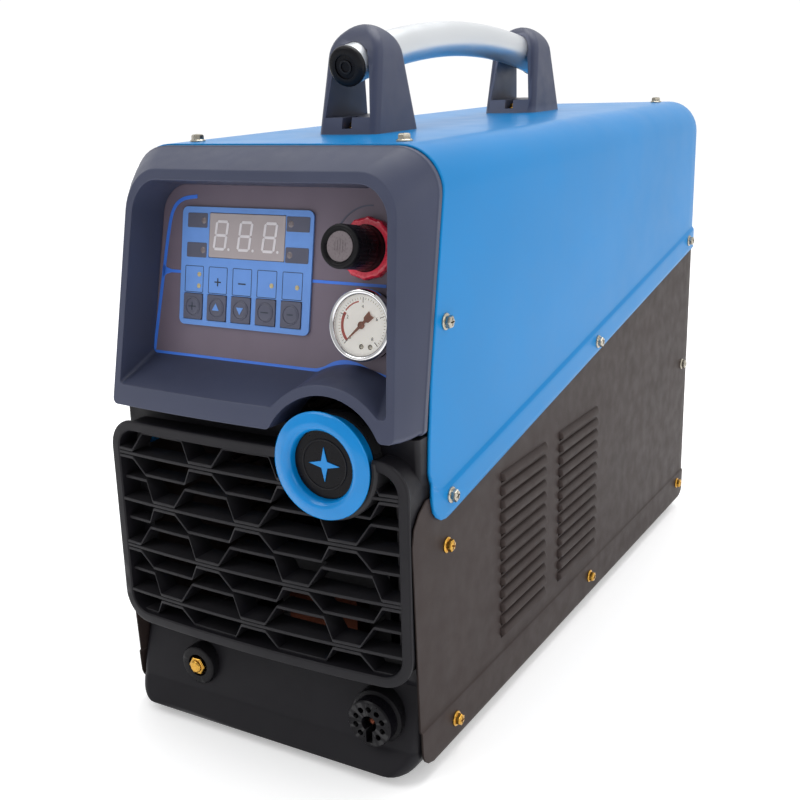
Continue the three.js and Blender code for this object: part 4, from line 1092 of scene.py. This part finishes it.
def dial_scale():
    """Dial with its ticks, every tenth one long, and the two red zones."""
    x, v = GAUGE
    dial = [(1.2, -9.8), (16.6, -9.8), (17.6, -9.9), (17.6, -8.8), (1.2, -8.8)]
    on_face("dial_plate", turned(dial, x, v, 72, True), "dial_white", hides="gauge_dial")
    ticks = []
    for i in range(41):
        inner, half = (14.6, 0.09) if i % 10 else (12.8, 0.2)
        heading = radians(DIAL_START - DIAL_SWEEP * i / 40)
        spot = at(x, 0, v) @ Matrix.Rotation(-heading, 4, "Y")
        ticks.append(moved(block((inner, -9.93, -half), (15.9, -9.8, half)), spot))
    on_face("dial_ticks", merged(ticks), "dial_white", looks="print_dark")
    zones = []
    for start, end, radius, width in ((150, 222, 13.2, 1.8), (102, 146, 13.6, 0.8)):
        zones.append(ribbon(arc(x, v, radius, start, end, 20), width, out=9.92, back=9.8))
    on_face("dial_zones", merged(zones), "dial_white", looks="dial_red")


def dial_details():
    """Two rivets and the numbers."""
    x, v = GAUGE
    rivet = [(0, -10.6), (1.0, -10.4), (1.5, -10), (1.5, -9.7), (0, -9.7)]
    rivets = [turned(rivet, x + dx, v + dv, 18) for dx, dv in ((0.5, -12.2), (6.4, -12.0))]
    on_face("dial_rivets", merged(rivets), "steel")
    numbers = []
    for i, text in enumerate(("0", "2", "4", "6", "8")):
        spot = around(GAUGE, 10.6, DIAL_START - DIAL_SWEEP * i / 4)
        numbers.append(number_shape(text, spot, 3.0, 9.93))
    on_face("dial_numbers", merged(numbers), "dial_white", looks="print_dark")


def gauge():
    gauge_case()
    dial_scale()
    dial_details()
    pointer()
    glass = [(0, -12.7), (14, -12.65), (17.2, -12.3), (17.2, -11.8), (0, -11.8)]
    on_face("gauge_pane", turned(glass, *GAUGE, 72), "clear_glass", hides="gauge_glass")


def number_shape(text, spot, size, out):
    """A number on the dial as a thin flat solid."""
    curve = bpy.data.curves.new("number", "FONT")
    curve.body = text
    curve.align_x = "CENTER"
    curve.align_y = "CENTER"
    curve.size = size
    curve.extrude = 0.05
    curve.resolution_u = 3
    text_object = add_object("number", curve)
    graph = bpy.context.evaluated_depsgraph_get()
    mesh = bpy.data.meshes.new_from_object(text_object.evaluated_get(graph))
    points = [(spot[0] + p.co.x, -out + 0.05 - p.co.z, spot[1] + p.co.y)
              for p in mesh.vertices]
    faces = [list(f.vertices) for f in mesh.polygons]
    bpy.data.objects.remove(text_object)
    bpy.data.meshes.remove(mesh)
    bpy.data.curves.remove(curve)
    return points, faces


def pointer():
    """Needle, its tail and its hub, drawn pointing along x and turned to its rest place."""
    middle = at(GAUGE[0], 0, GAUGE[1])
    along = middle @ spin(-45, "Y")
    thin = prism([(0, -0.9), (-4, -0.7), (-13.6, -0.18), (-13.6, 0.18), (-4, 0.7), (0, 0.9)],
                 -11.0, -10.6)
    tail = prism([(0, -0.9), (3.4, -0.8), (4.6, -2.1), (9.4, -2.4), (8.6, 0), (9.4, 2.4),
                  (4.6, 2.1), (3.4, 0.8), (0, 0.9)], -11.05, -10.6)
    hub = turned([(0, -11.5), (1.3, -11.45), (2, -11.2), (2.2, -10.9), (2.2, -10.4),
                  (0.9, -10.4), (0.9, -8.9), (0, -8.9)], 0, 0, 32)
    shape = merged([moved(thin, along), moved(tail, along), moved(hub, middle)])
    on_face("gauge_pointer", shape, "needle", body="gauge_needle", hides="gauge_needle")


# ---- regulator ----
def ring_nut():
    """Red nut with twelve notches in its rim."""
    def notches(angle, y):
        return 0.035 * max(0.0, cos(12 * angle)) if y > -5.2 else 0.0

    nut = [(13.6, -5.3), (15.6, -5.5), (16.6, -5.1), (17.4, -4.2), (17.6, -3.2), (17.6, -0.3),
           (13.6, -0.3)]
    on_face("regulator_ring", turned(nut, *KNOB, 144, True, notches), "red_nut",
            hides="regulator_nut", sharp=30)


def knob():
    """Ribbed knob with a recessed lid and five plain bars on it."""
    def ribs(angle, y):
        return 0.012 * cos(30 * angle) if -27 < y < -10 else 0.0

    x, v = KNOB
    cap = [(0, -31.6), (8.6, -31.6), (9.2, -31.9), (9.6, -32.6), (10.2, -33), (11.2, -33),
           (12, -32.6), (12.4, -31.8), (12.5, -30.6), (12.5, -28), (12.35, -26.5),
           (12.35, -11), (12.5, -9.6), (12.9, -8.6), (12.9, -1.3), (10.9, -1.3),
           (10.9, -7), (4.4, -7), (4.4, -12), (0, -12)]
    on_face("regulator_cap", turned(cap, x, v, 120, False, ribs), "black_plastic",
            body="regulator_knob", hides="regulator_knob", sharp=35)
    lid = [(0, -32.0), (8.3, -31.95), (8.5, -31.7), (8.5, -31.4), (0, -31.4)]
    shapes = [turned(lid, x, v, 60)]
    for i in (-2, -1, 0, 1, 2):
        shapes.append(plate(x + 1.7 * i - 0.35, x + 1.7 * i + 0.35, v - 4.4 + abs(i),
                            v + 4.4 - abs(i), 0.2, 32.25, 31.9, 2))
    on_face("regulator_lid", merged(shapes), "display_window", body="regulator_knob",
            looks="lamp_dim", bevel=0.1)


def regulator():
    ring_nut()
    dress("regulator_body", "aluminium", 0.4)
    dress("regulator_spindle", "brass")
    knob()


# ---- sockets ----
def output_socket():
    """Earth lead socket: a round collar about a brass hexagon."""
    x, z = -57.5, SOCKET_Z
    collar = [(7.2, -269.8), (7.6, -270.8), (11.4, -271), (12.8, -270.4), (13.5, -269.2),
              (13.5, -258), (11, -258), (11, -246), (7.2, -246)]
    piece("output_collar", turned(collar, x, z, 64, True), "black_plastic", hides="output_socket",
          bevel=0.2)
    hexagon = turned([(0, -272.4), (5.6, -272.4), (6.5, -271.6), (6.5, -262), (0, -262)],
                     x, z, 6)
    tip = turned([(0, -274.2), (3.2, -274), (4.2, -273.2), (4.4, -272.2), (0, -272.2)], x, z,
                 32)
    piece("output_insert", merged([hexagon, tip]), "brass", hides="output_socket_insert",
          bevel=0.3)


def torch_connector():
    """Torch connector: a centre pin, a keyway and nine holes round it."""
    x, z = 81, SOCKET_Z
    mouth = -281
    body = [(0, -278.5), (14.2, -278.5), (15, -277.7), (15, -270), (17.2, -269.2),
            (17.5, -268.4), (17.5, -258), (12, -258), (12, -246), (0, -246)]
    holes = [turned([(0, mouth), (5.2, mouth), (5.2, -262), (0, -262)], x, z, 32)]
    for i in range(9):
        holes.append(turned([(0, mouth), (1.9, mouth), (1.9, -268), (0, -268)],
                            *around((x, z), 9.6, -50 + 35 * i), 20))
    holes.append(block((x - 2.2, mouth, 26.5), (x + 2.2, -268, 36)))
    piece("torch_connector", turned(body, x, z, 72), "black_plastic", hides="torch_socket",
          bevel=0.3, minus=[merged([h]) for h in holes])
    pin = turned([(0, -275.6), (1.4, -275.4), (2.2, -274.6), (2.2, -262.6), (0, -262.6)],
                 x, z, 24)
    piece("torch_pin", pin, "copper", hides="torch_socket_pin")


def sockets():
    output_socket()
    torch_connector()


# ---- rear ----
def gland():
    """Cable gland with a gripped dome nut."""
    def grip(angle, y):
        return 0.02 * cos(16 * angle) if 272.5 < y < 281 else 0.0

    profile = [(5.5, 250), (11, 250), (11, 263.8), (15, 263.8), (15, 269.6), (14.2, 270.6),
               (12.4, 271.4), (12.5, 273), (12.5, 280.2), (11.6, 283), (9, 285.6), (7, 286),
               (5.5, 284.6)]
    piece("gland_body", turned(profile, REAR_HOLE_X, REAR_HOLE_Z, 96, True, grip),
          "black_plastic", hides="cable_gland", bevel=0.2)


def air_inlet():
    """Barbed air inlet."""
    profile = [(3.5, 246), (7, 246), (7, 263.8), (10.4, 263.8), (10.4, 269.8), (9.4, 270.6),
               (5, 271.4), (6.1, 275), (4.8, 275.4), (6.1, 279.6), (4.8, 280), (5.8, 284),
               (4.6, 286), (3.5, 286)]
    piece("inlet_barb", turned(profile, -REAR_HOLE_X, REAR_HOLE_Z, 48, True), "brass", bevel=0.2,
          hides="air_inlet")


def rear():
    dress("rear_panel", "black_paint", 0.3)
    dress("base_tray", "black_paint", 0.3)
    gland()
    air_inlet()
    dress("power_switch_housing", "black_plastic", 0.6)
    dress("power_switch_lever", "blue_plastic", 0.5)
    guard()
    fan()


def guard():
    """Rings of round wire on two crossed bars, with a button in the middle."""
    out = 264.8
    shapes = []
    for radius in (56, 48, 40, 32, 24, 16):
        circle = arc(radius, out, 1.1, 0, 330, 11)
        shapes.append(turned(circle, 0, FAN_Z, 64, True))
    for heading in (45, 135):
        angle = radians(heading)
        dx, dz = cos(angle) * 74, sin(angle) * 74
        shapes.append(swept([(-dx, out + 1.5, FAN_Z - dz), (0, out + 1.5, FAN_Z),
                             (dx, out + 1.5, FAN_Z + dz)], 1.2, 12))
    shapes.append(turned([(0, out - 0.6), (9, out - 0.6), (9.4, out + 0.4), (8.6, out + 1.6),
                          (0, out + 2)], 0, FAN_Z, 32))
    piece("guard_wires", merged(shapes), "steel", hides="fan_guard")


def fan_blade(turn):
    """One twisted and cambered blade, as an open sheet."""
    root = 18
    rows = []
    for radius in (root, 26, 34, 42, 49, 54):
        twist = radians(48 - 0.4 * (radius - root))
        chord = 11 + 0.12 * (radius - root)
        row = []
        for s in (-1, -0.5, 0, 0.5, 1):
            along = s * chord
            angle = turn + along * cos(twist) / radius + 0.012 * (radius - root)
            y = 243.7 + along * sin(twist) + 1.6 * (1 - s * s)
            row.append((radius * cos(angle), y, FAN_Z + radius * sin(angle)))
        rows.append(row)
    return grid(rows)


def fan():
    dress("fan_frame", "dark_plastic", 0.5)
    blades = [fan_blade(i * 2 * pi / 7) for i in range(7)]
    piece("rotor_blades", merged(blades), "black_plastic", body="fan_rotor", hides="fan_rotor",
          thick=1.2)
    hub = [(0, 231.7), (19, 231.7), (19, 253), (17.6, 255.2), (15, 255.7), (0, 255.7)]
    piece("rotor_hub", turned(hub, 0, FAN_Z, 48), "black_plastic", body="fan_rotor", bevel=0.4)


def inside():
    # the winding's copper finish carries painted shade of the dark inside of the unit
    for node, slot in (
            ("heatsink", "aluminium"), ("transformer_core", "ferrite"),
            ("transformer_winding", "copper"), ("inverter_board", "circuit_board"),
            ("control_board", "circuit_board"), ("capacitor_1", "ferrite"),
            ("capacitor_2", "ferrite"), ("solenoid_valve", "brass"), ("air_hose", "hose")):
        dress(node, slot, 0.3)


# ---- handle, in the frame of the sloping top ----
TUBE_RADIUS = 12.5
TUBE_RISE = 59                    # height of the tube's middle line at its highest
TUBE_SAG = 16.8                   # how much lower its ends are
TUBE_HALF = 149


def handle_points(reach_share, steps=48):
    """Points along the tube's arc; a share of 1 reaches its two ends."""
    radius = (TUBE_HALF ** 2 + TUBE_SAG ** 2) / (2 * TUBE_SAG)
    reach = asin(TUBE_HALF / radius) * reach_share
    points = []
    for i in range(steps + 1):
        angle = reach * (2 * i / steps - 1)
        points.append((0, radius * sin(angle),
                       TUBE_RISE - radius * (1 - cos(angle))))
    return points


def bracket_loop(h):
    """Level section of a bracket: a rounded rectangle that narrows upwards."""
    if h <= 47.5:
        wide = 22.7 - 2.2 * h / 47.5
    else:
        wide = sqrt(max(0.2, 20.5 ** 2 - (h - 47.5) ** 2))
    deep = between(h, [(0, 29), (42, 18.8), (50, 17), (56, 15), (61, 12), (65, 8), (67.4, 3.5),
                       (68, 1.5)])
    corner = min(6, wide * 0.7, deep * 0.7)
    return [(x, y, h) for x, y in rounded(-wide, wide, -deep, deep, corner, corner, 5)]


def handle_bar():
    piece("handle_bar", swept(handle_points(1), TUBE_RADIUS, 48), "aluminium", place=TOP,
          hides="handle_tube", bevel=0.4)


def handle_end(word, side):
    """Ringed plug in one end of the tube."""
    cap = [(0, 1.6), (3.0, 1.7), (3.3, 2.6), (4.4, 2.6), (4.7, 1.7), (7.4, 1.7), (7.7, 2.7),
           (9.4, 2.8), (11.4, 2.6), (12.6, 1.7), (13, 0.4), (12.9, -1.6), (12.6, -1.8),
           (0, -1.8)]
    tilt = 2 * atan(TUBE_SAG / TUBE_HALF)
    end = (at(0, side * TUBE_HALF, TUBE_RISE - TUBE_SAG)
           @ Matrix.Rotation(-side * tilt, 4, "X"))
    if side < 0:
        end = end @ spin(180, "Z")
    piece(f"handle_end_{word}", moved(turned(cap, 0, 0, 64), end), "black_plastic", place=TOP,
          hides=f"handle_cap_{word}", sharp=50)


def handle_support(word, side):
    """Bracket with its window, the notch over its screw and the bore for the tube."""
    levels = [0, 0.9, 6, 12, 20, 30, 40, 44, 47.5, 51, 54, 57, 59.5, 62, 64, 65.6, 66.8, 67.6,
              68]
    spot = at(0, side * 125.5, 0)
    body = moved(loft([bracket_loop(h) for h in levels], ends=True), spot)
    window = moved(prism([(-17, 10.5), (17, 10.5), (13.6, 40), (11, 52), (-11, 52),
                          (-13.6, 40)], -60, 60), spot)
    notch = moved(prism([(-3.6, 3.5), (3.6, 3.5), (3.6, 14), (-3.6, 14)], -60, -8), spot)
    bore = swept(handle_points(1.2), TUBE_RADIUS + 0.25, 48)
    piece(f"handle_support_{word}", body, "slate_plastic", place=TOP,
          hides=f"handle_bracket_{word}", bevel=1.0, minus=[window, notch, bore], sharp=32)
    lay = spot @ at(1, -19.5, 3.6) @ Matrix.Scale(0.85, 4)
    piece(f"handle_screw_{word}", moved(screw_shape(), lay), "brass", place=TOP, bevel=0.15)


def handle():
    handle_bar()
    for word, side in (("front", -1), ("rear", 1)):
        handle_end(word, side)
        handle_support(word, side)


# ---- stage, in metres ----
CAMERA_TURN = (30.37, 15.42, -1.42)   # yaw, pitch and roll in degrees
CAMERA_SPOT = (0.3971, -0.7714, 0.4014)
CAMERA_LENS = 49.59


def area_light(name, spot, target, size, power):
    """Rectangular lamp at a spot, in metres, that points at a target."""
    data = bpy.data.lights.new(name, "AREA")
    data.shape = "RECTANGLE"
    data.size, data.size_y = size
    data.energy = power
    lamp = add_object(name, data)
    lamp.location = spot
    aim = Vector(target) - Vector(spot)
    lamp.rotation_euler = aim.to_track_quat("-Z", "Y").to_euler()


def floor():
    """Plain pale floor that gives off a little light, so that it stays near white."""
    rows = [[(x / MM, y / MM, 0) for x in (-6, -2, 2, 6)] for y in (-6, 0, 6)]
    mesh = mesh_from("studio_floor", grid(rows))
    ground = add_object("studio_floor", mesh)
    made = Recipe("studio_white")
    pale = made.mixed(made.noise(3, 2), linear("f2f2f3"), linear("f7f7f7"))
    made.link(pale, made.shader.inputs["Base Color"])
    made.shader.inputs["Roughness"].default_value = 0.7
    made.shader.inputs["Emission Color"].default_value = (1, 1, 1, 1)
    made.shader.inputs["Emission Strength"].default_value = 0.33
    mesh.materials.append(made.material)


def surroundings():
    """White surroundings, dimmer towards the front of the unit than behind it."""
    world = bpy.data.worlds.new("studio")
    world.use_nodes = True
    nodes, links = world.node_tree.nodes, world.node_tree.links
    way = nodes.new("ShaderNodeSeparateXYZ")
    links.new(nodes.new("ShaderNodeTexCoord").outputs["Generated"], way.inputs[0])
    shade = nodes.new("ShaderNodeMapRange")
    for socket, value in (("From Min", -0.5), ("From Max", 0.5), ("To Min", 0.55),
                          ("To Max", 1.04)):
        shade.inputs[socket].default_value = value
    links.new(way.outputs["Y"], shade.inputs["Value"])
    links.new(shade.outputs["Result"], nodes["Background"].inputs["Strength"])
    nodes["Background"].inputs["Color"].default_value = (1, 1, 1, 1)
    bpy.context.scene.world = world


def stage():
    floor()
    surroundings()
    area_light("key", (-1.1, -1.6, 2.1), (0, 0, 0.2), (1.4, 1.4), 16)
    area_light("side", (2.6, -0.5, 1.5), (0, 0, 0.2), (1.8, 1.4), 9)
    area_light("overhead", (0.1, 0.5, 2.3), (0, 0, 0.3), (1.6, 1.6), 24)
    bpy.context.scene.view_settings.view_transform = "Standard"


def camera():
    """Camera at the photograph's viewing angle, from its yaw, pitch and roll."""
    yaw, pitch, roll = (radians(heading) for heading in CAMERA_TURN)
    ahead = Vector((-sin(yaw) * cos(pitch), cos(yaw) * cos(pitch),
                    -sin(pitch)))
    right = Vector((cos(yaw), sin(yaw), 0))
    up = right.cross(ahead)
    across = right * cos(roll) + up * sin(roll)
    upward = up * cos(roll) - right * sin(roll)
    pose = Matrix((across, upward, -ahead)).transposed().to_4x4()
    pose.translation = Vector(CAMERA_SPOT)
    data = bpy.data.cameras.new("camera")
    data.sensor_width = 36
    data.lens = CAMERA_LENS
    data.clip_start = 0.02
    eye = add_object("camera", data)
    eye.matrix_world = pose
    bpy.context.scene.camera = eye


camera()
stage()
cover()
side_panel(1, "side_sheet_right", "side_panel_right")
side_panel(-1, "side_sheet_left", "side_panel_left")
screws()
feet()
bezel()
fascia()
grille()
badge()
control_face()
display()
keys()
gauge()
regulator()
sockets()
rear()
inside()
handle()
